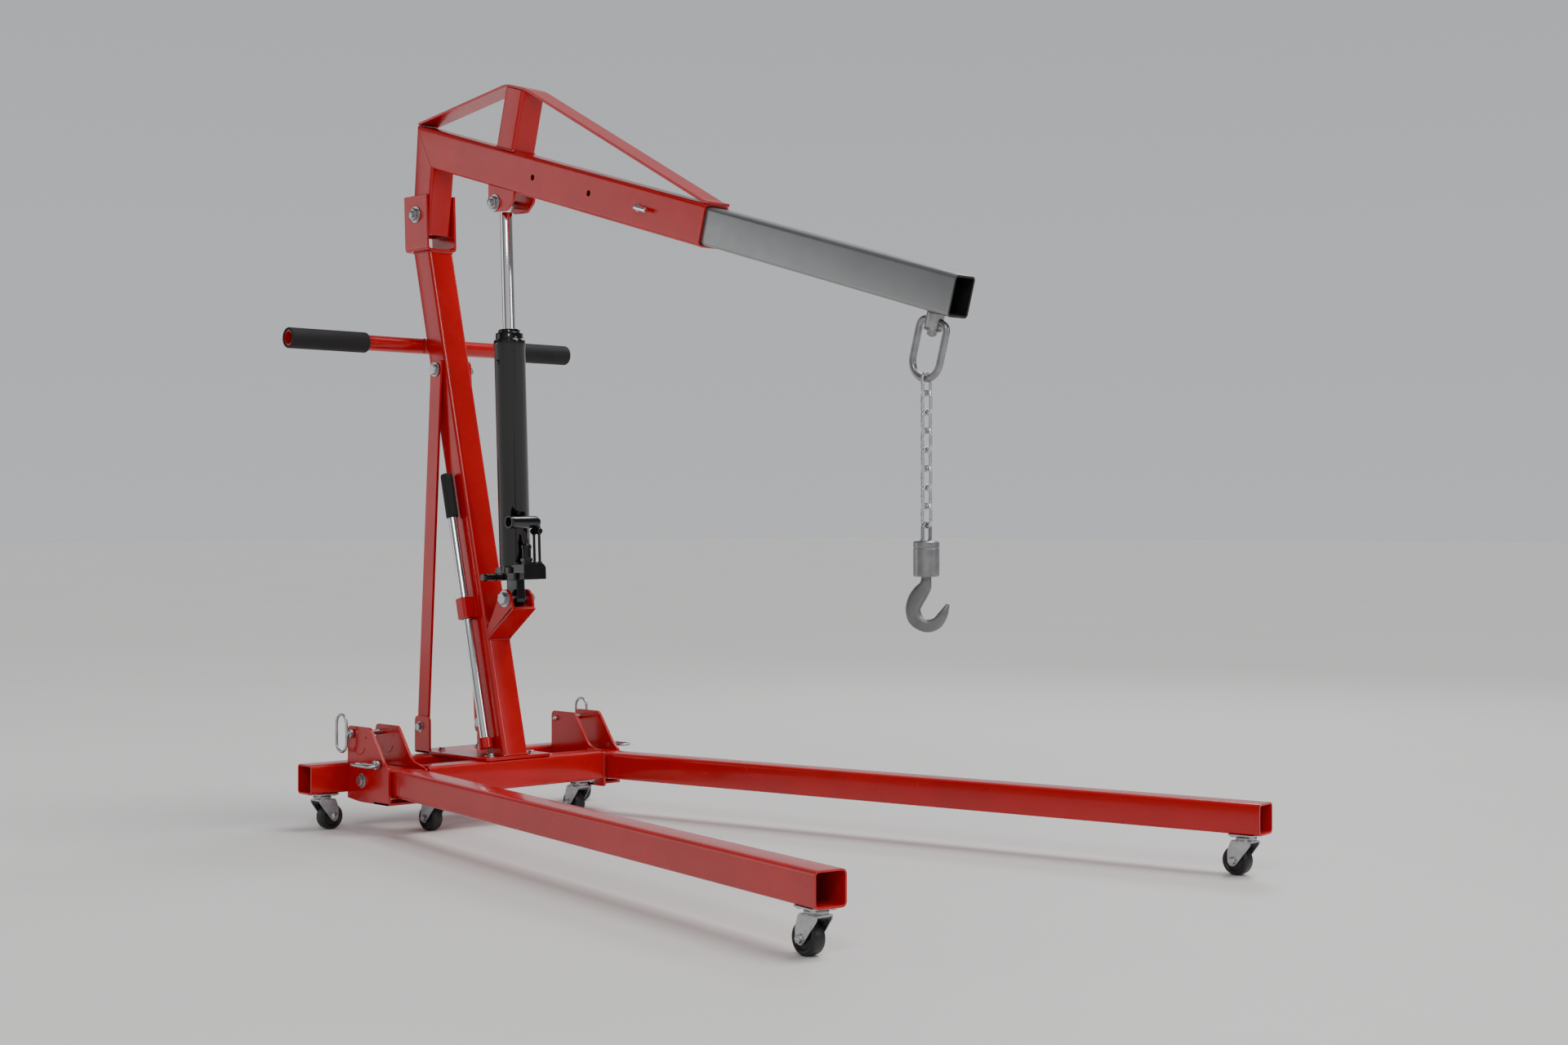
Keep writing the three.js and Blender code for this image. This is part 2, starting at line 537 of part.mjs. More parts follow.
// ---------------------------------------------------------------- ram
function ramCylinder() {
  const p = ramPoint;
  const lug = union(rod(p(0, -10, 0), p(0, 10, 0), 18, 12), box(-18, 18, -10, 10, 0, 38, ramFrame));
  const base = union(box(-52, 40, -31, 31, 36, 50, ramFrame), box(20, 61, -24, 30, 36, 68, ramFrame));
  const tube = lathe([[0, 48], [RAM.bodyR, 48], [RAM.bodyR, RAM.bodyTop - 4], [RAM.bodyR - 2, RAM.bodyTop],
    [27, RAM.bodyTop], [27, RAM.bodyTop + 11], [22, RAM.bodyTop + 11], [22, RAM.bodyTop + 17],
    [0, RAM.bodyTop + 17]], ramFrame, 22);
  const barrel = rod(p(46, -6, 66), p(46, -6, 108), 9, 12);
  const plates = [[36, 39], [53, 56]].map(([a, b]) => box(a, b, 15, 25, 66, 136.5, ramFrame));
  const pin = rod(p(34, 20, 132), p(58, 20, 132), 4, 12);
  return carve(union(lug, base, tube, barrel, ...plates, pin),
    rod(p(0, -20, 0), p(0, 20, 0), RAM_FOOT.boltR + 0.5, 12),
    rod(p(0, 0, RAM.boreFrom), p(0, 0, 600), RAM.bore, 12));
}

function ramRod() {
  return lathe([[0, RAM.rodFrom], [RAM.rodR, RAM.rodFrom], [RAM.rodR, RAM.rodTo - 4], [RAM.rodR - 3, RAM.rodTo],
    [0, RAM.rodTo]], ramFrame, 12);
}

function pumpSocket() {
  const p = ramPoint;
  const tube = rod(p(46, -48, 150), p(46, 24, 150), 12.5, 12);
  const ear = union(box(40.5, 51.5, 13.5, 26.5, 132, 150, ramFrame), rod(p(40.5, 20, 132), p(51.5, 20, 132), 7, 12));
  return carve(union(tube, ear), rod(p(46, -60, 150), p(46, 12, 150), 9.6, 12),
    rod(p(30, 20, 132), p(60, 20, 132), 4.8, 12));
}

function releaseValve() {
  const p = ramPoint;
  return union(rod(p(-26, -31.4, 43), p(-26, -60, 43), 5, 12), rod(p(-26, -54, 43), p(-26, -63, 43), 7.5, 8));
}

// ---------------------------------------------------------------- stored pump lever
function leverPoint(s) {
  return vec(LEVER.footX, LEVER.y, LEVER.footZ).addScaledVector(mastAxis, s);
}

function leverClip() {
  const place = frame(leverPoint(265), mastAcross, mastAxis);
  const side = MAST.size / 2 + LEVER.y + GAP;
  const outer = box(-26, 26, -15, -side, 0, 42, place);
  return outer.subtract(box(-12, 12, -12, 12, -10, 60, place));
}

// ---------------------------------------------------------------- assembly
add('rear_cross_beam', crossBeam(REAR_BEAM), paint);
add('front_cross_beam', crossBeam(FRONT_BEAM), paint);
add('base_plate', basePlate(), paint);
add('mast', mast(), paint);
add('mast_head_bracket', mastHead(), paint);
add('ram_bracket', ramBracket(), paint);
add('push_handle_bar', pushHandle(), paint);
add('lever_clip', leverClip(), paint);
add('boom_pivot_bolt', boltY(BOOM_PIVOT.x, BOOM_PIVOT.z, -37, 37, BOOM_PIVOT.r), zinc);
add('brace_top_bolt', boltY(BRACE.topX, BRACE.topZ, -40, 40, 6), zinc);
add('ram_lower_bolt', boltY(RAM_FOOT.x, RAM_FOOT.z, -28.4, 28.4, RAM_FOOT.boltR), zinc);

for (const [tag, side] of [['right', -1], ['left', 1]]) {
  const plateOut = side * BRACKET.yOut;
  add(`leg_bracket_${tag}`, legBracket(side), paint);
  add(`leg_${tag}`, leg(side), paint);
  add(`leg_pivot_bolt_${tag}`, boltY(LEG_PIVOT.x, LEG_PIVOT.z, plateOut + side * 0.4,
    side * (BRACKET.yIn - 0.4), LEG_PIVOT.boltR), zinc);
  const lockInner = side * (BRACKET.yOut - BRACKET.thick - 0.2);
  add(`leg_lock_pin_${tag}`, ringPin(LOCK_PIN, plateOut, lockInner, side, false), zinc);
  add(`leg_stow_pin_${tag}`, ringPin(STOW_PIN, plateOut, side * (BRACKET.yIn - 8), side, true), zinc);
  add(`brace_${tag}`, brace(side), paint);
  add(`handle_grip_${tag}`, handleGrip(side), rubber);
}

CASTERS.forEach(caster);

add('boom_arm', boomArm(), paint);
add('boom_tie_strap', tieStrap(), paint);
add('ram_upper_bolt', boltY(RAM_HEAD.x, RAM_HEAD.z, -28, 28, RAM_HEAD.boltR), zinc);
add('extension_arm', extensionArm(), greyPaint);
add('extension_pin', extensionPin(), chrome);
add('swivel_boss', swivelBoss(), zinc);
add('bow_link', bowLink(), zinc);

// The chain hangs from the lowest point of the tilted bow.
const bowLow = boomPoint(TIP.s, TIP.barH - TIP.height + TIP.halfW);
const chainX = bowLow.x;
let nextTop = bowLow.z - TIP.halfW + TIP.wireR + CHAIN.wireR + 1.2;
for (let i = 1; i <= CHAIN.links; i += 1) {
  add(`chain_link_${i}`, chainLink(chainX, nextTop, i % 2 === 1), zinc);
  const wireDrop = CHAIN.innerL + 2 * CHAIN.wireR;
  nextTop = nextTop - wireDrop + 2 * CHAIN.wireR + CHAIN.play;
}
const bailTop = nextTop + 3 - CHAIN.wireR;
const collarTop = bailTop - 29;
add('swivel_collar', swivelCollar(chainX, bailTop, collarTop, collarTop - 58), zinc);
add('hook', hookBody(chainX, collarTop - 58), greyPaint);

add('ram_cylinder', ramCylinder(), blackPaint);
add('ram_rod', ramRod(), chrome);
add('pump_socket', pumpSocket(), blackPaint);
add('release_valve', releaseValve(), blackPaint);

const leverTop = LEVER.length - LEVER.gripLen;
add('pump_lever', rod(leverPoint(0), leverPoint(LEVER.length - 12), LEVER.r, 16), chrome);
const sleeve = rod(leverPoint(leverTop), leverPoint(LEVER.length), LEVER.gripR, 12);
add('lever_grip', sleeve.subtract(rod(leverPoint(leverTop - 5), leverPoint(LEVER.length - 11), LEVER.r + GAP, 12)), rubber);

export default crane;
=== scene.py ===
import json
import math

import bmesh
import bpy
from mathutils import Matrix, Vector

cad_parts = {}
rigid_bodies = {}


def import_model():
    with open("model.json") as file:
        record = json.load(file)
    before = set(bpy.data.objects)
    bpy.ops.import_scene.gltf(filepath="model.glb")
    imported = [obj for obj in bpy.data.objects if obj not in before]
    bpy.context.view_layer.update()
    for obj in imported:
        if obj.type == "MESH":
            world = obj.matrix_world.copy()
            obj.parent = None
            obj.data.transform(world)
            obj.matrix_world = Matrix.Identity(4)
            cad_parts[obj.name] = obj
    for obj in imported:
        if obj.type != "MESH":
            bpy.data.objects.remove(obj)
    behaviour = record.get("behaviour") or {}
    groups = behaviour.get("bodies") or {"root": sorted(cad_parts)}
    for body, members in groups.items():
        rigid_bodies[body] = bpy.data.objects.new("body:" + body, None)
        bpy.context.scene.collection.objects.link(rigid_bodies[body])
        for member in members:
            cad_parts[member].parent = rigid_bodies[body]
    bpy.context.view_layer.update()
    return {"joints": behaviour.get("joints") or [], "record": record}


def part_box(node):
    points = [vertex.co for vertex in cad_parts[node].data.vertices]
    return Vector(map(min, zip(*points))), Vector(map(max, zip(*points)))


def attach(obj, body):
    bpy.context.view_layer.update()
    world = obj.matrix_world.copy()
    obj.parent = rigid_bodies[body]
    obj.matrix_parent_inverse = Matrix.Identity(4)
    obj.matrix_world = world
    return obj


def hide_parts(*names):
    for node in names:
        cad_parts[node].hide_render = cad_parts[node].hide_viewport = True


# Looks of a folding engine hoist crane. Shapes are in metres in the CAD frame:
# +X forward along the boom, +Y to the crane's left, +Z up, floor at Z = 0.
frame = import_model()

RECORD = frame["record"]
JOINTS = {j["name"]: j for j in frame["joints"]}
BODY_OF = {n: b for b, ns in RECORD["behaviour"]["bodies"].items() for n in ns}
MM = 0.001
UP = Vector((0, 0, 1))
AX = Vector((1, 0, 0))
AY = Vector((0, 1, 0))

# Sizes in the layout's mm. The record's joints and boxes place the rest.
PIVOT_X = -864  # boom pivot
PLATE_TOP = 136.6  # top of the base plate
BOOM_HALF = 39  # half the height of the boom tube
ARM_MIDDLE = 1150  # middle of the extension, measured along the boom
PIN_HOLES = (425, 607, 761)  # across the boom, measured along it; the pin is in the last
LEG_BEND, LEG_END = (-562, 250), (847, 517)  # x and y
LEG_TUBE, LEG_CORNER = 54, 8
HEAD_THICK = 1.6  # washer under a bolt's head or nut
EDGE_RADIUS = 0.0011  # metres from an edge where the edge colour shows: paint wear, and on the charcoal paint a painted dark reflection
DUST = (0.62, 0.58, 0.54, 1.0)
SIDES = (("right", -1), ("left", 1))


def joint_pos(name):
    return Vector(JOINTS[name]["pos_m"])


def joint_axis(name):
    return Vector(JOINTS[name]["axis"]).normalized()


DATUM = joint_pos("boom_lift").x / MM - PIVOT_X


# Layout millimetres to the CAD frame.
def P(x, y, z):
    return Vector(((x + DATUM) * MM, y * MM, z * MM))


ALONG = joint_axis("extension_slide")
ABOVE = Vector((-ALONG.z, 0, ALONG.x))
ARM_LOW, ARM_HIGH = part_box("extension_arm")
ARM_MID = (ARM_LOW + ARM_HIGH) / 2


# A point s mm along the boom from its rear top corner and h mm above its top face.
def boom_at(s, h, y=0.0):
    return ARM_MID + ALONG * ((s - ARM_MIDDLE) * MM) + ABOVE * ((h + BOOM_HALF) * MM) + AY * (y * MM)


RAM_FOOT = joint_pos("ram_tilt")
RAM_UP = joint_axis("rod_slide")
RAM_OUT = AY.cross(RAM_UP)


# A point s mm up the ram's axis from its foot, x mm in front and y mm to the left.
def ram_at(x, y, s):
    return RAM_FOOT + RAM_OUT * (x * MM) + AY * (y * MM) + RAM_UP * (s * MM)


MAST_UP = joint_axis("lever_pull")
MAST_OUT = AY.cross(MAST_UP)


# The mast's centre line at a height of z mm.
def mast_centre(z):
    return P(-595, 0, PLATE_TOP) + MAST_UP * ((z - PLATE_TOP) * MM / MAST_UP.z)


# A point s mm up the stored lever from its foot.
def lever_at(s, x=0.0, y=0.0):
    return P(-601, -47, 150) + MAST_UP * (s * MM) + MAST_OUT * (x * MM) + AY * (y * MM)


# ------------------------------------------------------------------ materials
def link(tree, a, b):
    tree.links.new(a, b)


def node(tree, kind, **inputs):
    made = tree.nodes.new(kind)
    for key, value in inputs.items():
        made.inputs[key.replace("_", " ")].default_value = value
    return made


def remap(tree, source, low, high, to_low, to_high):
    made = tree.nodes.new("ShaderNodeMapRange")
    made.inputs["From Min"].default_value = low
    made.inputs["From Max"].default_value = high
    made.inputs["To Min"].default_value = to_low
    made.inputs["To Max"].default_value = to_high
    link(tree, source, made.inputs["Value"])
    return made.outputs["Result"]


# A tuple becomes the socket's value; an output is linked to it.
def feed(tree, value, socket):
    if isinstance(value, tuple):
        socket.default_value = value
    else:
        link(tree, value, socket)


def dot(tree, a, b):
    made = tree.nodes.new("ShaderNodeVectorMath")
    made.operation = "DOT_PRODUCT"
    feed(tree, a, made.inputs[0])
    feed(tree, b, made.inputs[1])
    return made.outputs["Value"]


def product(tree, a, b):
    made = tree.nodes.new("ShaderNodeMath")
    made.operation = "MULTIPLY"
    link(tree, a, made.inputs[0])
    link(tree, b, made.inputs[1])
    return made.outputs["Value"]


def blend_colour(tree, factor, a, b):
    made = tree.nodes.new("ShaderNodeMix")
    made.data_type = "RGBA"
    feed(tree, a, made.inputs[6])
    feed(tree, b, made.inputs[7])
    link(tree, factor, made.inputs[0])
    return made.outputs[2]


# A surface with slow colour drift, fine bump, uneven gloss, dust on upward faces and an edge colour: worn
# edges, except on the charcoal paint, where the darker edges are a painted dark reflection.
def surface(name, base, second, rough, metal=0.0, coat=0.0, grain=420.0, bump=0.00003, drift=9.0,
            specular=0.5, edge=None, edge_amount=0.6, stretch=(1, 1, 1), rough_swing=0.08, dust=0.05):
    made = bpy.data.materials.new(name)
    made.use_nodes = True
    tree = made.node_tree
    shader = tree.nodes["Principled BSDF"]
    place = tree.nodes.new("ShaderNodeTexCoord").outputs["Object"]
    normal = tree.nodes.new("ShaderNodeNewGeometry").outputs["Normal"]
    scaled = node(tree, "ShaderNodeMapping", Scale=stretch)
    link(tree, place, scaled.inputs["Vector"])
    slow = node(tree, "ShaderNodeTexNoise", Scale=drift, Detail=5.0, Roughness=0.55)
    fine = node(tree, "ShaderNodeTexNoise", Scale=grain, Detail=3.0, Roughness=0.6)
    smudge = node(tree, "ShaderNodeTexNoise", Scale=drift * 4.3, Detail=6.0, Roughness=0.65)
    link(tree, place, slow.inputs["Vector"])
    link(tree, scaled.outputs["Vector"], fine.inputs["Vector"])
    link(tree, place, smudge.inputs["Vector"])
    patches = smudge.outputs["Fac"]
    colour = blend_colour(tree, remap(tree, slow.outputs["Fac"], 0.35, 0.68, 0.0, 1.0), base, second)
    if edge:
        soft = node(tree, "ShaderNodeBevel", Radius=EDGE_RADIUS)
        soft.samples = 4
        near_edge = remap(tree, dot(tree, soft.outputs["Normal"], normal), 0.97, 0.86, 0.0, edge_amount)
        # Edge colour mask: paint wear on most surfaces; on the charcoal paint it carries a painted dark
        # reflection.
        wear_and_dark_reflection = product(tree, near_edge, remap(tree, patches, 0.42, 0.62, 0.15, 1.0))
        colour = blend_colour(tree, wear_and_dark_reflection, colour, edge)
    split = tree.nodes.new("ShaderNodeSeparateXYZ")
    link(tree, normal, split.inputs["Vector"])
    facing_up = remap(tree, split.outputs["Z"], 0.6, 1.0, 0.0, dust)
    dusty = product(tree, facing_up, remap(tree, patches, 0.4, 0.7, 0.3, 1.0))
    colour = blend_colour(tree, dusty, colour, DUST)
    link(tree, colour, shader.inputs["Base Color"])
    gloss = remap(tree, patches, 0.3, 0.7, rough - rough_swing / 2, rough + rough_swing / 2)
    link(tree, gloss, shader.inputs["Roughness"])
    relief = node(tree, "ShaderNodeBump", Strength=0.6, Distance=bump)
    link(tree, fine.outputs["Fac"], relief.inputs["Height"])
    link(tree, relief.outputs["Normal"], shader.inputs["Normal"])
    shader.inputs["Metallic"].default_value = metal
    shader.inputs["Specular IOR Level"].default_value = specular
    shader.inputs["Coat Weight"].default_value = coat
    shader.inputs["Coat Roughness"].default_value = 0.08
    return made


RED = surface("red_powder_coat", (0.52, 0.0008, 0.0035, 1), (0.44, 0.0006, 0.0028, 1), 0.24, coat=0.22,
              specular=0.42, edge=(0.56, 0.008, 0.012, 1), edge_amount=0.35, dust=0.01)
RED_INSIDE = surface("red_tube_inside", (0.52, 0.004, 0.006, 1), (0.44, 0.003, 0.005, 1), 0.42, dust=0.02)
# The charcoal paint's darker edge colour is a painted dark reflection along its edges.
CHARCOAL = surface("charcoal_paint", (0.31, 0.314, 0.32, 1), (0.28, 0.285, 0.29, 1), 0.34, metal=0.8,
                   coat=0.12, edge=(0.17, 0.17, 0.18, 1), dust=0.01)
TUBE_BLACK = surface("tube_inside_black", (0.006, 0.006, 0.007, 1), (0.012, 0.012, 0.013, 1), 0.5)
BLACK = surface("black_ram_paint", (0.003, 0.003, 0.0035, 1), (0.005, 0.005, 0.0055, 1), 0.13, coat=0.25,
                specular=0.4, edge=(0.02, 0.02, 0.022, 1), edge_amount=0.4, dust=0.003)
CHROME = surface("hard_chrome", (0.84, 0.85, 0.87, 1), (0.78, 0.79, 0.81, 1), 0.09, metal=1.0, bump=0.000006,
                 grain=900.0, rough_swing=0.05, dust=0.0)
ZINC = surface("zinc_plate", (0.50, 0.51, 0.53, 1), (0.38, 0.39, 0.41, 1), 0.30, metal=0.95, drift=60.0,
               edge=(0.68, 0.68, 0.69, 1), bump=0.00002, rough_swing=0.16, dust=0.02)
CHAIN_ZINC = surface("chain_zinc", (0.62, 0.62, 0.63, 1), (0.50, 0.50, 0.51, 1), 0.28, metal=0.95, drift=90.0,
                     bump=0.00003, rough_swing=0.14, dust=0.0)
SATIN = surface("satin_steel", (0.33, 0.33, 0.34, 1), (0.24, 0.24, 0.25, 1), 0.34, metal=0.9, drift=45.0,
                stretch=(1, 1, 7), grain=500.0, edge=(0.5, 0.5, 0.51, 1), dust=0.0)
CAST = surface("forged_grey", (0.22, 0.223, 0.23, 1), (0.16, 0.163, 0.168, 1), 0.42, metal=0.7, drift=40.0,
               grain=260.0, bump=0.0002, edge=(0.40, 0.40, 0.41, 1), dust=0.0)
FOAM = surface("foam_grip", (0.006, 0.006, 0.006, 1), (0.010, 0.010, 0.010, 1), 0.74, grain=1100.0,
               bump=0.0003, edge=(0.02, 0.02, 0.02, 1), dust=0.01)
WHEEL = surface("wheel_black", (0.006, 0.006, 0.0065, 1), (0.010, 0.010, 0.011, 1), 0.42, grain=500.0,
                bump=0.0001, edge=(0.03, 0.03, 0.03, 1), dust=0.03)
WELD = surface("painted_weld", (0.42, 0.001, 0.003, 1), (0.30, 0.0008, 0.002, 1), 0.34, coat=0.4, grain=260.0,
               bump=0.0003, dust=0.01)


# ------------------------------------------------------------------ mesh helpers
# Turns a bmesh into a smooth shaded object; bevel is the width of its softened edges in mm.
def object_from(name, bm, materials, bevel=0.0, angle=32.0):
    bmesh.ops.remove_doubles(bm, verts=bm.verts, dist=1e-7)
    bmesh.ops.recalc_face_normals(bm, faces=bm.faces)
    mesh = bpy.data.meshes.new(name)
    bm.to_mesh(mesh)
    bm.free()
    for item in materials:
        mesh.materials.append(item)
    mesh.shade_smooth()
    mesh.set_sharp_from_angle(angle=math.radians(angle))
    made = bpy.data.objects.new(name, mesh)
    bpy.context.scene.collection.objects.link(made)
    if bevel:
        soften = made.modifiers.new("soft_edges", "BEVEL")
        soften.width = bevel * MM
        soften.segments = 2
        soften.limit_method = "ANGLE"
        soften.angle_limit = math.radians(angle)
        soften.harden_normals = True
    return made


# A piece that stands for one CAD node.
def piece(name, bm, *materials, bevel=0.0, angle=32.0):
    made = object_from(name + "_look", bm, materials, bevel, angle)
    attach(made, BODY_OF[name])
    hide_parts(name)
    return made


# A small piece with no CAD node of its own.
def trim(name, bm, body, slot, *materials, bevel=0.0, angle=32.0):
    made = object_from(name, bm, materials, bevel, angle)
    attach(made, body)
    return made


# The closed outline with each corner turned into an arc. radius is one number or one per corner.
def rounded(points, radius, steps=5):
    out = []
    count = len(points)
    for i, point in enumerate(points):
        r = radius[i] if isinstance(radius, (list, tuple)) else radius
        here = Vector(point)
        before = Vector(points[i - 1]) - here
        after = Vector(points[(i + 1) % count]) - here
        r = min(r, before.length * 0.48, after.length * 0.48)
        if r < 0.05:
            out.append(here)
            continue
        a = here + before.normalized() * r
        b = here + after.normalized() * r
        for k in range(steps + 1):
            t = k / steps
            out.append(a.lerp(here, t).lerp(here.lerp(b, t), t))
    return out


# The outline of a rectangular tube, in mm around its middle.
def rounded_box_section(width, height, radius, steps=5):
    w, h = width / 2 - radius, height / 2 - radius
    out = []
    for quarter, (cx, cy) in enumerate(((w, h), (-w, h), (-w, -h), (w, -h))):
        for k in range(steps + 1):
            turn = math.pi / 2 * (quarter + k / steps)
            out.append((cx + radius * math.cos(turn), cy + radius * math.sin(turn)))
    return out


# A skin over loops of points. around joins the last loop to the first; paint is the material's index.
def loft(bm, loops, caps=True, around=False, paint=0):
    rings = [[bm.verts.new(p) for p in loop] for loop in loops]
    pairs = list(zip(rings, rings[1:])) + ([(rings[-1], rings[0])] if around else [])
    count = len(rings[0])
    for a, b in pairs:
        for i in range(count):
            j = (i + 1) % count
            bm.faces.new((a[i], a[j], b[j], b[i])).material_index = paint
    if caps and not around:
        bm.faces.new(rings[0]).material_index = paint
        bm.faces.new(rings[-1]).material_index = paint
    return rings


# An outer and an inner skin joined at both ends. inside and rim are material indices.
def shell(bm, outer, inner, inside=0, rim=0):
    a = loft(bm, outer, caps=False)
    b = loft(bm, inner, caps=False, paint=inside)
    count = len(a[0])
    for end in (0, -1):
        for i in range(count):
            j = (i + 1) % count
            bm.faces.new((a[end][i], a[end][j], b[end][j], b[end][i])).material_index = rim


# A section swept along direction until it meets the plane through point with that normal.
def on_plane(section, point, direction, side, normal):
    u = (side - direction * side.dot(direction)).normalized()
    v = direction.cross(u)
    loop = []
    for a, b in section:
        start = point + u * (a * MM) + v * (b * MM)
        loop.append(start - direction * ((start - point).dot(normal) / direction.dot(normal)))
    return loop


# The section at each point of a path, mitred at the corners. first and last are the end planes' normals.
def path_loops(points, side, section, first=None, last=None):
    runs = [(b - a).normalized() for a, b in zip(points, points[1:])]
    loops = []
    for i, point in enumerate(points):
        if i == 0:
            loops.append(on_plane(section, point, runs[0], side, first or runs[0]))
        elif i == len(points) - 1:
            loops.append(on_plane(section, point, runs[-1], side, last or runs[-1]))
        else:
            mitre = (runs[i - 1] + runs[i]).normalized()
            loops.append(on_plane(section, point, runs[i - 1], side, mitre))
    return loops


# A rounded rectangular tube, open at both ends, along a path. Its inside has the second material.
def tube(bm, points, side, width, height, radius, wall=3.5, first=None, last=None, rim=0):
    outer = rounded_box_section(width, height, radius)
    inner = rounded_box_section(width - 2 * wall, height - 2 * wall, max(radius - wall, 1.2))
    shell(bm, path_loops(points, side, outer, first, last), path_loops(points, side, inner, first, last),
          inside=1, rim=rim)


# A matrix at point with its Z along z_dir and its X as near x_dir as it can be.
def basis(point, z_dir, x_dir):
    z = z_dir.normalized()
    x = (x_dir - z * x_dir.dot(z)).normalized()
    y = z.cross(x)
    made = Matrix((x, y, z)).transposed().to_4x4()
    made.translation = point
    return made


def axis_basis(point, axis):
    return basis(point, axis, AX if abs(axis.normalized().x) < 0.9 else AY)


# A circle of points at a height above place; radius and height in mm.
def circle(place, radius, height, sides, turn=0.0):
    angles = [math.tau * k / sides + turn for k in range(sides)]
    return [place @ Vector((radius * math.cos(t) * MM, radius * math.sin(t) * MM, height * MM))
            for t in angles]


# A turned body: profile is [(radius, height)] in mm along the axis from point.
def turned(bm, point, axis, profile, sides=40):
    place = axis_basis(point, axis)
    loft(bm, [circle(place, max(radius, 0.02), height, sides) for radius, height in profile])


# A pipe with a bore right through it.
def pipe(bm, a, b, outer, inner, lip=1.0, sides=40, inside=0):
    length = (b - a).length / MM
    place = axis_basis(a, b - a)
    skin = ((outer - lip, 0), (outer, lip), (outer, length - lip), (outer - lip, length))
    bore = ((inner, 0), (inner, length * 0.33), (inner, length * 0.66), (inner, length))
    shell(bm, [circle(place, r, h, sides) for r, h in skin], [circle(place, r, h, sides) for r, h in bore],
          inside=inside)


# A plate whose outline is a list of (x, z) in layout mm, between two y values.
def plate_xz(bm, outline, y0, y1):
    loft(bm, [[P(x, y, z) for x, z in outline] for y in (y0, y1)])


# A block with rounded vertical corners. corner_frame maps local mm to the CAD frame.
def slab(bm, corner_frame, x0, x1, y0, y1, z0, z1, radius):
    outline = rounded([(x0, y0), (x1, y0), (x1, y1), (x0, y1)], radius, 3)
    loft(bm, [[corner_frame(p.x, p.y, z) for p in outline] for z in (z0, z1)])


# A round wire swept along a path. swell changes its radius along the way.
def wire(bm, points, radius, sides=14, closed=False, swell=None):
    count = len(points)
    loops = []
    last_u = None
    for i, point in enumerate(points):
        ahead = points[(i + 1) % count] if closed or i < count - 1 else point
        behind = points[i - 1] if closed or i > 0 else point
        t = (ahead - behind).normalized()
        if last_u is None:
            guess = AY if abs(t.y) < 0.9 else UP
        else:
            guess = last_u
        u = (guess - t * guess.dot(t)).normalized()
        last_u = u
        v = t.cross(u)
        r = radius * MM * (swell(i / count) if swell else 1.0)
        loops.append([point + (u * math.cos(math.tau * k / sides) + v * math.sin(math.tau * k / sides)) * r
                      for k in range(sides)])
    loft(bm, loops, caps=not closed, around=closed)


# An open path with its inner corners turned into arcs.
def filleted(points, radius, steps=8):
    out = [points[0]]
    for a, b, c in zip(points, points[1:], points[2:]):
        r = min(radius * MM, (a - b).length * 0.49, (c - b).length * 0.49)
        start = b + (a - b).normalized() * r
        stop = b + (c - b).normalized() * r
        for k in range(steps + 1):
            t = k / steps
            out.append(start.lerp(b, t).lerp(b.lerp(stop, t), t))
    out.append(points[-1])
    return out


# The path with points about step mm apart.
def resampled(points, step):
    out = []
    for a, b in zip(points, points[1:]):
        parts = max(1, round((b - a).length / (step * MM)))
        out += [a.lerp(b, k / parts) for k in range(parts)]
    return out + [points[-1]]


# A rippled weld bead along a path.
def weld(bm, points, radius, closed=False):
    path = resampled(points + ([points[0]] if closed else []), 1.6)
    if closed:
        path = path[:-1]
    total = len(path)
    wire(bm, path, radius, sides=8, closed=closed,
         swell=lambda t: 0.92 + 0.13 * math.sin(t * total * 1.7) + 0.05 * math.sin(t * total * 0.31))


# A bolt's head or a nut.
def hexagon(bm, point, axis, radius, height, chamfer=0.9, turn=0.0):
    place = axis_basis(point, axis)
    rows = ((radius, 0), (radius, height - chamfer), (radius * 0.90, height))
    loft(bm, [circle(place, r, h, 6, turn) for r, h in rows])


def washer(bm, point, axis, radius, thick=HEAD_THICK):
    profile = [(radius - 0.4, 0), (radius, 0.4), (radius, thick - 0.4), (radius - 0.4, thick)]
    turned(bm, point, axis, profile, 32)


# A bolt across the crane: head outside one face, washer, nut and thread end outside the other.
def cross_bolt(bm, x, z, head_y, nut_y, radius):
    out = AY if head_y > nut_y else -AY
    head, nut = P(x, head_y, z), P(x, nut_y, z)
    tall = radius * 0.95
    pitch = 0.9
    washer(bm, head, out, radius * 2.15)
    hexagon(bm, head + out * HEAD_THICK * MM, out, radius * 1.62, tall, turn=0.3)
    turned(bm, nut - out * 6 * MM, out, [(radius, 0), (radius, (abs(head_y - nut_y) + 8))], 24)
    washer(bm, nut, -out, radius * 2.15)
    hexagon(bm, nut - out * HEAD_THICK * MM, -out, radius * 1.62, tall, turn=0.5)
    thread = []
    for k in range(7):
        thread += [(radius * 0.98, k * pitch), (radius * 0.86, k * pitch + pitch / 2)]
    turned(bm, nut - out * radius * 0.95 * MM, -out, thread + [(radius * 0.7, 6.6)], 24)


# A hexagon head on a washer.
def disc_bolt(bm, point, axis, radius):
    washer(bm, point, axis, radius * 1.45, 1.2)
    hexagon(bm, point + axis * 1.2 * MM, axis, radius * 1.1, radius * 0.75, turn=0.4)


def new():
    return bmesh.new()


# Cuts round holes across a piece and keeps the result in its mesh.
def drilled(made, holes, radius, reach=60):
    for point in holes:
        bm = new()
        turned(bm, point - AY * reach * MM, AY, [(radius, 0), (radius, 2 * reach)], 28)
        cutter = object_from("cutter", bm, [])
        cut = made.modifiers.new("hole", "BOOLEAN")
        cut.operation = "DIFFERENCE"
        cut.solver = "EXACT"
        cut.object = cutter
        bpy.context.view_layer.update()
        shape = bpy.data.meshes.new_from_object(made.evaluated_get(bpy.context.evaluated_depsgraph_get()))
        made.modifiers.clear()
        old = made.data
        made.data = shape
        bpy.data.meshes.remove(old)
        spare = cutter.data
        bpy.data.objects.remove(cutter)
        bpy.data.meshes.remove(spare)


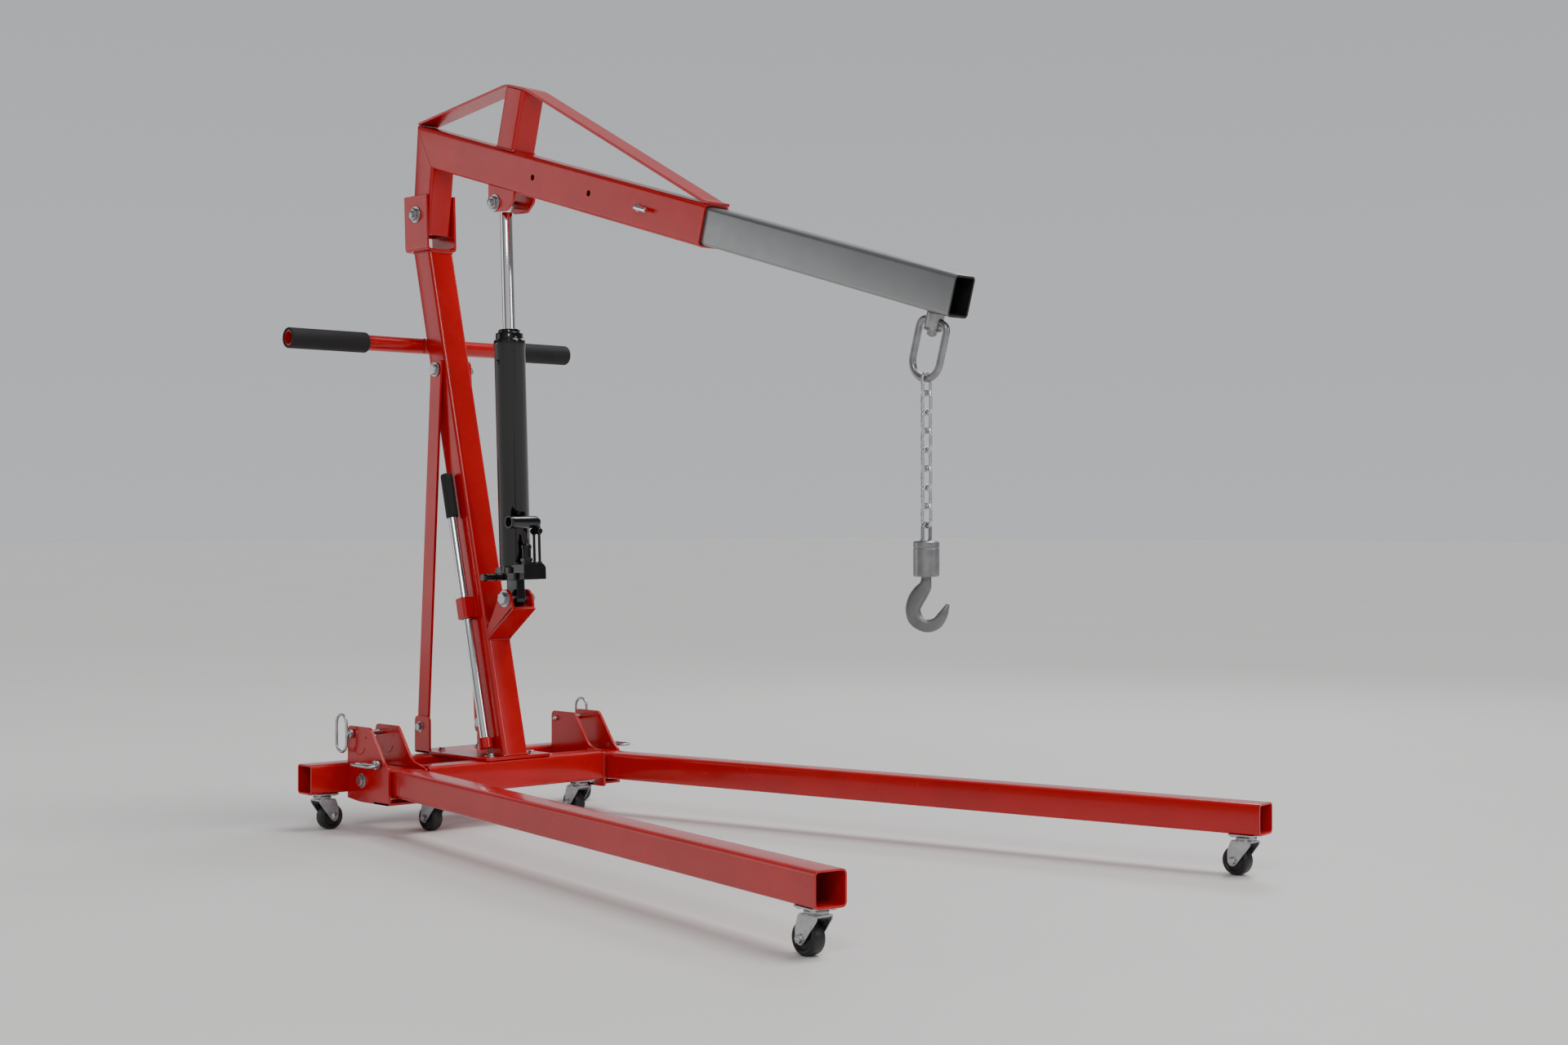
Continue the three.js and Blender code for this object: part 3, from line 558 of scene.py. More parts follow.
# ------------------------------------------------------------------ base
def base_frame():
    bm = new()
    tube(bm, [P(-757, -366, 101), P(-757, 366, 101)], AX, 50, 58, 7)
    piece("rear_cross_beam", bm, RED, RED_INSIDE, bevel=0.5)
    bm = new()
    tube(bm, [P(-582, -214.6, 101), P(-582, 214.6, 101)], AX, 54, 58, 7)
    piece("front_cross_beam", bm, RED, RED_INSIDE, bevel=0.5)
    bm = new()
    slab(bm, P, -804, -556, -80, 80, 130.3, 135.9, 6)
    for side in (-1, 1):
        tab = rounded([(-804, 131.4), (-752, 131.4), (-752, 206), (-804, 206)], [1, 1, 12, 12])
        plate_xz(bm, tab, side * 75, side * 80)
    pipe(bm, lever_at(0), lever_at(22), 14, 9.7, sides=36)
    piece("base_plate", bm, RED, bevel=0.7)
    bm = new()
    rim = [lever_at(0.5, 15.2 * math.cos(k * 0.2618), 15.2 * math.sin(k * 0.2618)) for k in range(24)]
    rim = [Vector((p.x, p.y, PLATE_TOP * MM)) for p in rim]
    weld(bm, rim, 2.0, closed=True)
    for side in (-1, 1):
        weld(bm, [P(-801, side * 74, PLATE_TOP), P(-755, side * 74, PLATE_TOP)], 2.2)
    foot = on_plane(rounded_box_section(60, 60, 8), mast_centre(137.2), MAST_UP, AY, UP)
    weld(bm, foot, 2.7, closed=True)
    for side in (-1, 1):
        for y in (side * 218, side * 282):
            weld(bm, [P(-730.5, y, 129), P(-730.5, y, 76)], 2.1)
    for side in (-1, 1):
        weld(bm, [P(-606, side * 213.5, 130.5), P(-558, side * 213.5, 130.5)], 2.2)
        weld(bm, [P(-554.4, side * 213.5, 127), P(-554.4, side * 213.5, 76)], 2.2)
    trim("base_welds", bm, "base", "red_paint", WELD)
    bm = new()
    for x, y in ((-757, 45), (-757, -45), (-583, 50), (-583, -50)):
        disc_bolt(bm, P(x, y, 135.9), UP, 6.0)
    trim("base_plate_bolts", bm, "base", "zinc", ZINC, bevel=0.25)
    bm = new()
    for side in (-1, 1):
        disc_bolt(bm, P(-785, side * 80, 184), AY * side, 7.6)
        nut = [(10, 0), (11, 0.6), (11, 5), (9.5, 6)]
        turned(bm, P(-785, side * 67.8, 184), -AY * side, nut, 6)
    trim("brace_foot_bolts", bm, "base", "zinc", ZINC, bevel=0.25)


def mast():
    bm = new()
    tube(bm, [mast_centre(PLATE_TOP), mast_centre(1162.7)], AY, 60, 60, 8, first=UP, last=UP)
    piece("mast", bm, RED, RED_INSIDE, bevel=0.5)
    bm = new()
    bend = rounded([(-36.5, 1280), (-36.5, 1163.2), (36.5, 1163.2), (36.5, 1280),
                    (31.5, 1280), (31.5, 1168.2), (-31.5, 1168.2), (-31.5, 1280)],
                   [1.5, 10, 10, 1.5, 1.5, 6, 6, 1.5], 6)
    loft(bm, [[P(x + (1280 - p.y) * 0.04, p.x, p.y) for p in bend] for x in (-908, -826.5)])
    piece("mast_head_bracket", bm, RED, bevel=0.8)
    bm = new()
    rim = on_plane(rounded_box_section(60, 60, 8), mast_centre(1161.6), MAST_UP, AY, UP)
    weld(bm, rim, 2.4, closed=True)
    trim("mast_head_weld", bm, "base", "red_paint", WELD)


# The bracket for the ram's foot, on the front of the mast.
def ram_bracket():
    def face(z):
        return mast_centre(z).x / MM - DATUM + 31.4
    bm = new()
    plate_xz(bm, [(face(372), 372), (face(366), 366.5), (-538, 428), (-543, 433)], -28, 28)
    ear = rounded([(face(384), 384), (face(371), 371), (-541, 430), (-545, 446), (-550, 460), (-560, 467),
                   (-573, 467), (-583, 460), (-588, 448)], [1, 1, 6, 6, 6, 5, 5, 5, 6], 3)
    for side in (-1, 1):
        plate_xz(bm, ear, side * 22.4, side * 28)
    piece("ram_bracket", bm, RED, bevel=0.7)
    bm = new()
    for side in (-1, 1):
        weld(bm, [P(face(384) + 1, side * 26, 384), P(face(366) + 1, side * 26, 366)], 2.0)
    weld(bm, [P(face(366) + 1, -26, 366), P(face(366) + 1, 26, 366)], 2.0)
    trim("ram_bracket_weld", bm, "base", "red_paint", WELD)


def push_handle():
    bm = new()
    pipe(bm, P(-853, -344, 966), P(-853, 344, 966), 16, 13, lip=0.8, sides=48, inside=1)
    piece("push_handle_bar", bm, RED, RED_INSIDE)
    ribs = [(21.0 - 0.28 * (k % 2), 5 + k * 3.9) for k in range(44)]
    profile = [(18.2, 0), (20.2, 0.8), (21, 3)] + ribs + [(21, 177), (20, 179.4), (18.4, 180)]
    for tag, side in SIDES:
        bm = new()
        place = basis(P(-853, side * 166, 966), AY * side, AX)
        shell(bm, [circle(place, r, h, 44) for r, h in profile],
              [circle(place, 16.2, h, 44) for r, h in profile])
        piece("handle_grip_" + tag, bm, FOAM, angle=60)
    bm = new()
    for side in (-1, 1):
        arc = [P(-853 + 17 * math.cos(t), side * 29, 966 + 17 * math.sin(t)) for t in
               [math.radians(a) for a in range(-60, 61, 12)]]
        weld(bm, arc, 2.2)
    trim("push_handle_weld", bm, "base", "red_paint", WELD)


def lever_clip():
    bm = new()
    clip = [(-26, 16.7), (-26, 13.7), (-15, 13.7), (-15, -10), (-10, -15), (10, -15), (15, -10), (15, 13.7),
            (26, 13.7), (26, 16.7), (12, 16.7), (12, -8), (8, -12), (-8, -12), (-12, -8), (-12, 16.7)]
    loft(bm, [[lever_at(s, x, y) for x, y in clip] for s in (265, 307)])
    piece("lever_clip", bm, RED, bevel=0.6)


def braces():
    for tag, side in SIDES:
        top, foot = P(-790, side * 35.6, 914), P(-785, side * 70.8, 184)
        up = (top - foot).normalized()
        across = (AX - up * AX.dot(up)).normalized()
        out = up.cross(across)
        length = (top - foot).length / MM
        outline = rounded([(-18, -22), (18, -22), (18, length + 20), (-18, length + 20)], 11, 6)
        bm = new()
        loft(bm, [[foot + across * (p.x * MM) + up * (p.y * MM) + out * (t * MM) for p in outline]
                  for t in (-3, 3)])
        piece("brace_" + tag, bm, RED, bevel=0.7)


def bolts():
    for name, x, z, head, nut, radius in (
            ("boom_pivot_bolt", -864, 1240, 37, -37, 8), ("brace_top_bolt", -790, 914, -40, 40, 7),
            ("ram_lower_bolt", -566, 449, -28.4, 28.4, 8), ("ram_upper_bolt", -600, 1238, 28, -28, 8)):
        bm = new()
        cross_bolt(bm, x, z, head, nut, radius)
        piece(name, bm, ZINC, bevel=0.3)
    for tag, side in SIDES:
        bm = new()
        cross_bolt(bm, -680, 99, side * 285.3, side * 214.6, 6.6)
        piece("leg_pivot_bolt_" + tag, bm, ZINC, bevel=0.3)


# ------------------------------------------------------------------ legs
def leg_group(tag, side):
    z = joint_pos("leg_fold_" + tag).z / MM
    bm = new()
    points = [P(x, side * y, z) for x, y in ((-706, LEG_BEND[1]), LEG_BEND, LEG_END)]
    tube(bm, points, UP, LEG_TUBE, LEG_TUBE, LEG_CORNER, wall=3.2)
    piece("leg_" + tag, bm, RED, RED_INSIDE, bevel=0.45)
    seam = path_loops(points, UP, rounded_box_section(LEG_TUBE - 0.6, LEG_TUBE - 0.6, LEG_CORNER))[1]
    bm = new()
    weld(bm, seam, 1.1, closed=True)
    trim("leg_bend_weld_" + tag, bm, "leg_" + tag, "red_paint", WELD)

    def cheek(front):
        return rounded([(-731.7, 62), (-690, 57.2), (front, 57.2), (front, 127), (-605, 138), (-651, 199),
                        (-657, 203), (-726, 203), (-731.7, 197)], [1, 10, 4, 8, 10, 5, 5, 5, 4], 4)
    bm = new()
    plate_xz(bm, cheek(-588), side * 285, side * 279)
    plate_xz(bm, cheek(-556), side * 215, side * 221)
    outline = rounded([(-640, 215), (-588, 215), (-588, 285), (-640, 285)], 1.0, 2)
    loft(bm, [[P(p.x, side * p.y, h) for p in outline] for h in (57.4, 62)])
    piece("leg_bracket_" + tag, bm, RED, bevel=0.6)
    bm = new()
    for y, radius in ((285.1, 1.0), (221.0, 0.8)):
        arc = [P(-690 + 21 * math.cos(math.radians(a)), side * y, 170 + 21 * math.sin(math.radians(a)))
               for a in range(200, 341, 10)]
        wire(bm, arc, radius, sides=10)
    for y in (285.0, 221.0):
        turned(bm, P(-668, side * y, 183), AY * side, [(3.0, 0), (3.0, 0.7), (1.8, 0.7), (1.6, 0.1)], 20)
    trim("leg_bracket_marks_" + tag, bm, "base", "red_paint", RED)


# A closed ring with rounded corners, in the plane of u and v.
def stadium(centre, u, v, half_u, half_v, radius, steps=10):
    corners = [(half_u, half_v), (-half_u, half_v), (-half_u, -half_v), (half_u, -half_v)]
    out = []
    for quarter, (a, b) in enumerate(corners):
        ca, cb = a - math.copysign(radius, a), b - math.copysign(radius, b)
        for k in range(steps + 1):
            t = math.pi / 2 * (quarter + k / steps)
            out.append(centre + u * ((ca + radius * math.cos(t)) * MM)
                       + v * ((cb + radius * math.sin(t)) * MM))
    return out


def ring_pins(tag, side):
    lock_ring = stadium(P(-632, side * 310, 134), AX, AY, 34, 13, 12.5)
    stow_ring = stadium(P(-734, side * 297, 188), AX, UP, 18, 36, 17.5)
    for kind, x, inner, z, tip, ring in (
            ("lock", -622, 278.8, 134, [(4.8, 0), (5.2, 0.4)], lock_ring),
            ("stow", -714, 207, 188, [(2.5, 0), (5.2, 3.5)], stow_ring)):
        bm = new()
        length = 299 - inner
        head = [(5.2, 12.5), (8.6, 12.5), (9, 12), (9, 5.5), (8.5, 5), (5.2, 4.5), (5.2, 0.8), (4.2, 0)]
        turned(bm, P(x, side * inner, z), AY * side, tip + [(r, length - h) for r, h in head], 32)
        wire(bm, ring, 2.8, closed=True, sides=14)
        piece("leg_%s_pin_%s" % (kind, tag), bm, ZINC)


# ------------------------------------------------------------------ casters
def caster(tag):
    king = joint_pos("caster_swivel_" + tag)
    axle = joint_pos("caster_roll_" + tag)
    across = joint_axis("caster_roll_" + tag)
    trail = across.cross(UP)
    if trail.dot(axle - king) < 0:
        trail = -trail
    holder = JOINTS["caster_swivel_" + tag]["parent"]
    ground = Vector((king.x, king.y, 0))

    def at(a, b, c):
        return ground + trail * (a * MM) + across * (b * MM) + UP * (c * MM)
    front = AX
    if tag.startswith("front"):
        side = 1 if king.y > 0 else -1
        front = Vector((LEG_END[0] - LEG_BEND[0], side * (LEG_END[1] - LEG_BEND[1]), 0)).normalized()
    out = UP.cross(front)
    offset, axle_height = 17, 25

    def plate_frame(a, b, c):
        return ground + front * (a * MM) + out * (b * MM) + UP * (c * MM)
    bm = new()
    slab(bm, plate_frame, -24, 24, -24, 24, 69.2, 71.8, 4)
    for a in (-17, 17):
        for b in (-17, 17):
            hexagon(bm, plate_frame(a, b, 69.2), -UP, 4.6, 2.6, 0.5)
    turned(bm, plate_frame(0, 0, 69.2), -UP, [(15, 0), (15, 0.6), (9, 0.9)], 36)
    trim("caster_plate_" + tag, bm, holder, "zinc", ZINC, bevel=0.3)
    bm = new()
    race = [(14, 0), (16.5, 0.6), (18.4, 2.6), (18.4, 4.4), (16.8, 6), (17.8, 7.4), (17.8, 10)]
    turned(bm, at(0, 0, 67.9), -UP, race, 40)
    crown = rounded([(-17, -15.9), (21, -15.9), (21, 15.9), (-17, 15.9)], 5, 4)
    loft(bm, [[at(p.x, p.y, h) for p in crown] for h in (57.4, 60.2)])
    cheek = rounded([(-17, 59.6), (-17, 54), (8, 22), (14, 16), (22, 16), (27.5, 22), (28, 42), (21, 59.6)],
                    [1, 8, 10, 5, 5, 5, 14, 2], 5)
    for side in (-1, 1):
        loft(bm, [[at(p.x, side * w, p.y) for p in cheek] for w in (13.4, 15.9)])
    head = [(7.4, 0), (7.4, 0.9), (6.4, 2.6), (4.4, 4.0), (1.6, 4.7)]
    turned(bm, at(offset, -15.9, axle_height), -across, head, 32)
    turned(bm, at(offset, 15.9, axle_height), across, [(7.6, 0), (7.6, 1.0), (5.0, 1.1)], 32)
    hexagon(bm, at(offset, 16.9, axle_height), across, 6.6, 4.4, 0.8)
    turned(bm, at(offset, -16, axle_height), across, [(4, 0), (4, 37.0), (3.2, 38.2)], 24)
    piece("caster_fork_" + tag, bm, ZINC, bevel=0.7)
    bm = new()
    half = [(25, 4), (24.7, 8.2), (23.6, 10.6), (21.2, 12), (18.4, 11.5), (16.5, 9.0), (8.6, 10.4),
            (8.2, 11.9), (5, 11.4)]
    turned(bm, at(offset, 0, axle_height), across, [(r, -w) for r, w in reversed(half)] + half, 56)
    piece("caster_wheel_" + tag, bm, WHEEL, angle=50)


# ------------------------------------------------------------------ boom
# The gooseneck tube's loops: the neck's lower end, the mitred elbow and the front end.
def boom_loops(width, depth, neck_depth, radius):
    lean = math.radians(5.3)
    neck_up = Vector((math.sin(lean), 0, math.cos(lean)))
    neck_out = Vector((math.cos(lean), 0, -math.sin(lean)))
    rear_top = boom_at(0, 0)
    neck_mid = rear_top + neck_out * 30 * MM
    mitre_normal = (P(-822, 0, 1339) - rear_top).normalized().cross(AY)
    main = rounded_box_section(width, depth, radius)
    neck = rounded_box_section(width, neck_depth, radius)
    low = on_plane(neck, neck_mid, neck_up, AY, UP)
    drop = (1197 * MM - neck_mid.z) / neck_up.z
    centre = boom_at(0, -BOOM_HALF)
    seam = on_plane(main, centre, ALONG, AY, mitre_normal)
    shift = (rear_top - centre).dot(mitre_normal) / ALONG.dot(mitre_normal)
    return [[p + neck_up * drop for p in low], [p + ALONG * shift for p in seam],
            on_plane(main, boom_at(944, -BOOM_HALF), ALONG, AY, ALONG)]


def boom():
    outer = boom_loops(58, 78, 60, 8)
    bm = new()
    shell(bm, outer, boom_loops(51, 71, 53, 4.5), inside=1)
    tube(bm, [boom_at(316, -1), boom_at(316, 119.6)], AY, 56, 60, 7)
    made = piece("boom_arm", bm, RED, RED_INSIDE)
    drilled(made, [boom_at(s, -BOOM_HALF) for s in PIN_HOLES], 6)
    made.data.set_sharp_from_angle(angle=math.radians(30))
    bm = new()
    ear = rounded([(-622, 1277), (-622, 1246), (-606, 1220), (-562, 1218), (-540, 1236), (-537, 1254)],
                  [1, 4, 5, 5, 4, 1], 4)
    for side in (-1, 1):
        plate_xz(bm, ear, side * 22, side * 27.5)
    trim("boom_clevis_ears", bm, "boom", "red_paint", RED, bevel=0.6)
    bm = new()
    base = on_plane(rounded_box_section(57, 61, 7), boom_at(316, 0.8), ABOVE, AY, ABOVE)
    weld(bm, base, 2.2, closed=True)
    for side in (-1, 1):
        weld(bm, [boom_at(936, 1.2, side * 22), boom_at(948, 1.2, side * 22)], 1.8)
    weld(bm, [boom_at(948.6, 1.0, -23), boom_at(948.6, 1.0, 23)], 1.8)
    trim("boom_welds", bm, "boom", "red_paint", WELD)
    bm = new()
    wire(bm, resampled(outer[1] + [outer[1][0]], 3.0)[:-1], 0.45, sides=8, closed=True)
    trim("boom_mitre_line", bm, "boom", "red_paint", RED_INSIDE)


def tie_strap():
    path = [(0, 0.6), (283, 120.4), (348, 120.4), (930, 0.4), (948, 0.4)]
    lower = filleted([boom_at(s, h) for s, h in path], 14, 6)
    section = ((-24.4, 0), (-25, 0.8), (-25, 4.2), (-24.4, 5), (24.4, 5), (25, 4.2), (25, 0.8), (24.4, 0))
    loops = []
    for i, point in enumerate(lower):
        t = (lower[min(i + 1, len(lower) - 1)] - lower[max(i - 1, 0)]).normalized()
        normal = Vector((-t.z, 0, t.x))
        loops.append([point + AY * (y * MM) + normal * (h * MM) for y, h in section])
    bm = new()
    loft(bm, loops)
    piece("boom_tie_strap", bm, RED, angle=28)


def extension():
    bm = new()
    tube(bm, [boom_at(735, -BOOM_HALF), boom_at(1565, -BOOM_HALF)], AY, 48, 69, 7, wall=3.6, rim=1)
    piece("extension_arm", bm, CHARCOAL, TUBE_BLACK, bevel=0.4)
    bm = new()
    pin = boom_at(PIN_HOLES[-1], -BOOM_HALF)
    knee = pin + AY * (-41 * MM)
    end = knee + ALONG * 36 * MM
    wire(bm, filleted([pin - AY * 25.5 * MM, knee, end], 9, 8), 4.6, sides=20)
    turned(bm, pin - AY * 29.2 * MM, -AY, [(6.6, 0), (7.4, 0.5), (7.4, 1.7), (6.6, 2.2)], 28)
    turned(bm, end, ALONG, [(4.6, -0.5), (4.6, 0.2), (3.8, 1.0), (0.5, 1.2)], 20)
    piece("extension_pin", bm, CHROME, angle=40)


# ------------------------------------------------------------------ lifting tackle
def swivel_boss():
    bm = new()
    top = boom_at(1518, -73.8)
    down = -ABOVE
    barrel = [(13.6, 0), (15, 1.4), (15, 24), (14.4, 25), (14.4, 26), (15, 27), (15, 29.6), (13.6, 31),
              (8.2, 31.2)]
    turned(bm, top, down, barrel, 44)
    hexagon(bm, top + down * 31 * MM, down, 8.8, 7.4, 1.2)
    turned(bm, top + down * 38 * MM, down, [(5, 0), (5, 1.6), (4.2, 2.4)], 24)
    piece("swivel_boss", bm, SATIN, bevel=0.3)


# A U with a flat top; half is half its width and lift its straight sides' height, in mm.
def bow_link():
    half, lift = 30.5, 65.5
    centre = boom_at(1518, -153.5)
    ring = []
    for k in range(25):
        t = math.pi + math.pi * k / 24
        ring.append(centre + ALONG * (half * math.cos(t) * MM) + ABOVE * (half * math.sin(t) * MM))
    right = centre + ALONG * half * MM
    left = centre - ALONG * half * MM
    rise = ABOVE * (lift * MM)
    path = ring + filleted([right, right + rise, left + rise, left], 17, 9)[1:-1]
    bm = new()
    wire(bm, resampled(path + [path[0]], 3.0)[:-1], 6, closed=True, sides=20)
    piece("bow_link", bm, SATIN, angle=60)


# Eight links, each with a small lump where its wire is welded.
def chain():
    bend = 9.25
    for i in range(1, 9):
        low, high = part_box("chain_link_%d" % i)
        mid = (low + high) / 2
        wide = AX if (high.x - low.x) > (high.y - low.y) else AY
        path = []
        for sign in (1, -1):
            for k in range(15):
                t = math.pi * k / 14 + (0 if sign > 0 else math.pi)
                rise = 9 * sign + bend * math.sin(t)
                path.append(mid + wide * (bend * math.cos(t) * MM) + UP * (rise * MM))
        bm = new()
        wire(bm, resampled(path + [path[0]], 2.0)[:-1], 2.75, closed=True, sides=16,
             swell=lambda t: 1.0 + 0.16 * math.exp(-((t - 0.41) * 34) ** 2))
        piece("chain_link_%d" % i, bm, CHAIN_ZINC, angle=60)


# The drum over the hook and the bail over the drum.
def swivel_collar():
    low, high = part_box("swivel_collar")
    x = (low.x + high.x) / 2
    bail = high.z - 3 * MM
    top = bail - 29 * MM
    bottom = low.z
    height = (top - bottom) / MM
    upper = [(21.5, 13), (20.9, 12.4), (20.9, 11), (21.5, 10.4), (21.5, 2.2), (19.4, 0), (13, 0), (0.1, 0)]
    body = [(9.4, 14), (9.4, 1), (10.4, 0), (19.6, 0), (21.5, 1.9)] + [(r, height - h) for r, h in upper]
    bm = new()
    turned(bm, Vector((x, 0, bottom)), UP, body, 52)
    foot = 9 * MM
    arch = [Vector((x, foot * math.cos(t), bail - foot + foot * math.sin(t)))
            for t in [math.pi * k / 16 for k in range(17)]]
    arch = [Vector((x, foot, top - 3 * MM))] + arch + [Vector((x, -foot, top - 3 * MM))]
    wire(bm, resampled(arch, 2.5), 3, sides=18)
    for side in (-1, 1):
        turned(bm, Vector((x, side * foot, top)), UP, [(5.2, -0.5), (5.2, 1.0), (4.2, 2.0), (3.0, 2.2)], 24)
    piece("swivel_collar", bm, SATIN, bevel=0.2, angle=40)
    hook(x, bottom)


# A Catmull-Rom curve through rows of numbers.
def smooth_row(rows, parts):
    out = []
    for i in range(len(rows) - 1):
        p0, p1, p2, p3 = rows[max(i - 1, 0)], rows[i], rows[i + 1], rows[min(i + 2, len(rows) - 1)]
        for k in range(parts):
            t = k / parts
            out.append([0.5 * (2 * b + (c - a) * t + (2 * a - 5 * b + 4 * c - d) * t * t
                               + (3 * b - a - 3 * c + d) * t ** 3) for a, b, c, d in zip(p0, p1, p2, p3)])
    return out + [list(rows[-1])]


# The hook is swept along its centre line: x, z, half width and half thickness in mm.
def hook(x, top):
    rows = [(0, 11, 8.5, 8.5), (0, 2, 8.5, 8.5), (-0.5, -8, 8.6, 8.6), (-3, -17, 11, 9.4), (-10, -27, 13, 10),
            (-17.5, -39, 13.3, 10), (-22, -54, 12, 10), (-17, -70, 12, 10), (0.5, -80, 10.8, 10),
            (17, -75.5, 9.6, 9.4), (27.5, -62, 7.6, 8.2), (33.4, -50, 4.4, 6), (36.4, -43.8, 2.2, 3.2)]
    yaw = math.radians(30)
    turn = Vector((math.cos(yaw), math.sin(yaw), 0))
    thick = UP.cross(turn)
    origin = Vector((x, 0, top))
    path = smooth_row(rows, 6)
    loops = []
    sides = 32
    for i, (a, b, wide, deep) in enumerate(path):
        ahead = path[min(i + 1, len(path) - 1)]
        behind = path[max(i - 1, 0)]
        tangent = Vector((ahead[0] - behind[0], ahead[1] - behind[1])).normalized()
        flat = turn * (-tangent.y) + UP * tangent.x
        power = 2.0 if b > -6 else 3.2  # round shank, boxier hook
        loop = []
        for k in range(sides):
            c, s = math.cos(math.tau * k / sides), math.sin(math.tau * k / sides)
            u = math.copysign(abs(c) ** (2 / power), c) * wide
            v = math.copysign(abs(s) ** (2 / power), s) * deep
            loop.append(origin + turn * (a * MM) + UP * (b * MM) + flat * (u * MM) + thick * (v * MM))
        loops.append(loop)
    bm = new()
    loft(bm, loops)
    piece("hook", bm, CAST, angle=50)


# ------------------------------------------------------------------ ram
# The barrel and its collars, the base block, the lug at the foot, and the pump body with its screws.
def ram_cylinder():
    bm = new()
    tube_profile = [(29, 49), (31, 51), (31, 62), (30.4, 63), (30.4, 66), (31, 67), (31, 500), (31.9, 501.5),
                    (31.9, 514), (30.6, 516), (29, 516.4), (27.6, 517), (27.6, 528), (26.4, 530),
                    (22.4, 530.6), (22, 535), (21, 537), (14.4, 537.4), (13.1, 536.4), (13.1, 520)]
    turned(bm, RAM_FOOT, RAM_UP, tube_profile, 64)
    slab(bm, ram_at, -52, 40, -31, 31, 36, 50, 5)
    block = rounded([(-24, 36.4), (30, 36.4), (30, 60), (24, 67.6), (-24, 67.6)], [2, 2, 3, 3, 3], 3)
    loft(bm, [[ram_at(x, p.x, p.y) for p in block] for x in (20, 61)])
    slab(bm, ram_at, -30, 22, -30, 28, 50, 62, 6)
    slab(bm, ram_at, -18, 18, -10, 10, 4, 37, 3)
    turned(bm, ram_at(0, -10.4, 0), AY, [(16.6, 0), (18, 1.2), (18, 19.6), (16.6, 20.8)], 44)
    pump = [(11, 0), (11, 5), (9.2, 6.4), (9.2, 30), (10.4, 31), (10.4, 38), (8.6, 40), (5.6, 41), (5.2, 50)]
    turned(bm, ram_at(46, -6, 66), RAM_UP, pump, 36)
    hexagon(bm, ram_at(46, -6, 72), RAM_UP, 12.2, 7, 1.0)
    link_bar = [(5.0, 0), (5.0, 5), (2.7, 5.4), (2.7, 58), (4.2, 59), (4.2, 70), (3.4, 70.5)]
    for x in (37.6, 54.4):
        turned(bm, ram_at(x, 20, 66), RAM_UP, link_bar, 24)
    link_pin = [(6, 0), (6, 3), (4, 3.1), (4, 23.5), (6, 23.6), (6, 26), (5, 27)]
    turned(bm, ram_at(32.5, 20, 132), RAM_OUT, link_pin, 24)
    turned(bm, ram_at(54, -16, 66), RAM_UP, [(5.2, 0), (5.2, 4), (3.2, 4.2), (3.2, 7.4), (2.4, 8)], 6)
    turned(bm, ram_at(28, -17, 66), RAM_UP, [(5.2, 0), (5.2, 4), (4.4, 5)], 6)
    turned(bm, ram_at(0, -30.2, 470), -AY, [(5.4, 0), (5.4, 2), (4.4, 2.9)], 24)
    for y in (-14, 14):
        turned(bm, ram_at(-40, y, 50), RAM_UP, [(5.4, -0.5), (5.4, 3.4), (4.4, 4.2)], 6)
    piece("ram_cylinder", bm, BLACK, bevel=0.5)


def ram_rod():
    bm = new()
    profile = [(12, 300), (12.5, 301), (12.5, 768), (11.6, 771), (11.6, 772.6), (12.3, 773.4), (12.3, 774.8),
               (10, 776)]
    turned(bm, RAM_FOOT, RAM_UP, profile, 48)
    piece("ram_rod", bm, CHROME, angle=50)


# The cup that takes the pump lever, and the ear it rocks on.
def pump_socket():
    bm = new()
    sides = 40
    place = basis(ram_at(46, -48, 150), AY, RAM_OUT)
    cup = ((10.0, 0), (12.4, 0), (13.0, 1), (13.0, 6), (12.4, 7.2), (12.4, 66), (11, 71), (3, 72), (0.03, 72))
    bore = ((9.7, 0.2), (9.7, 58), (0.03, 59))
    outer = loft(bm, [circle(place, r, h, sides) for r, h in cup], caps=False)[0]
    inner = loft(bm, [circle(place, r, h, sides) for r, h in bore], caps=False, paint=1)[0]
    for i in range(sides):
        j = (i + 1) % sides
        bm.faces.new((outer[i], outer[j], inner[j], inner[i]))
    ear = rounded([(13.5, 134), (13.5, 126), (26.5, 126), (26.5, 134), (26.5, 144), (13.5, 144)],
                  [1, 6, 6, 1, 1, 1], 5)
    loft(bm, [[ram_at(x, p.x, p.y) for p in ear] for x in (41, 51)])
    piece("pump_socket", bm, BLACK, TUBE_BLACK, bevel=0.3)


# The valve's stem and its knurled knob.
def release_valve():
    bm = new()
    turned(bm, ram_at(-26, -31.2, 43), -AY, [(7, 0), (7, 2), (5, 2.4), (5, 21)], 32)
    knob = []
    for h, scale in ((20, 0.94), (21, 1.0), (30, 1.0), (31.2, 0.92)):
        loop = []
        for k in range(48):
            r = (7.5 - (0.55 if k % 4 < 2 else 0)) * scale
            t = math.tau * k / 48
            loop.append(ram_at(-26 + r * math.cos(t), -31.2 - h, 43 + r * math.sin(t)))
        knob.append(loop)
    loft(bm, knob)
    piece("release_valve", bm, BLACK, bevel=0.2)


def lever():
    bm = new()
    turned(bm, lever_at(0), MAST_UP, [(8, 0.6), (9, 1.8), (9, 548), (8, 553)], 48)
    piece("pump_lever", bm, CHROME)
    bm = new()
    ribs = [(12.5 - 0.3 * (k % 2), 480 + k * 4.0) for k in range(20)]
    profile = [(9.5, 474.2), (11.6, 474.6), (12.5, 477)] + ribs + [(12.4, 561), (11.2, 564.6), (8.2, 566)]
    turned(bm, lever_at(0), MAST_UP, profile, 44)
    piece("lever_grip", bm, FOAM, angle=60)


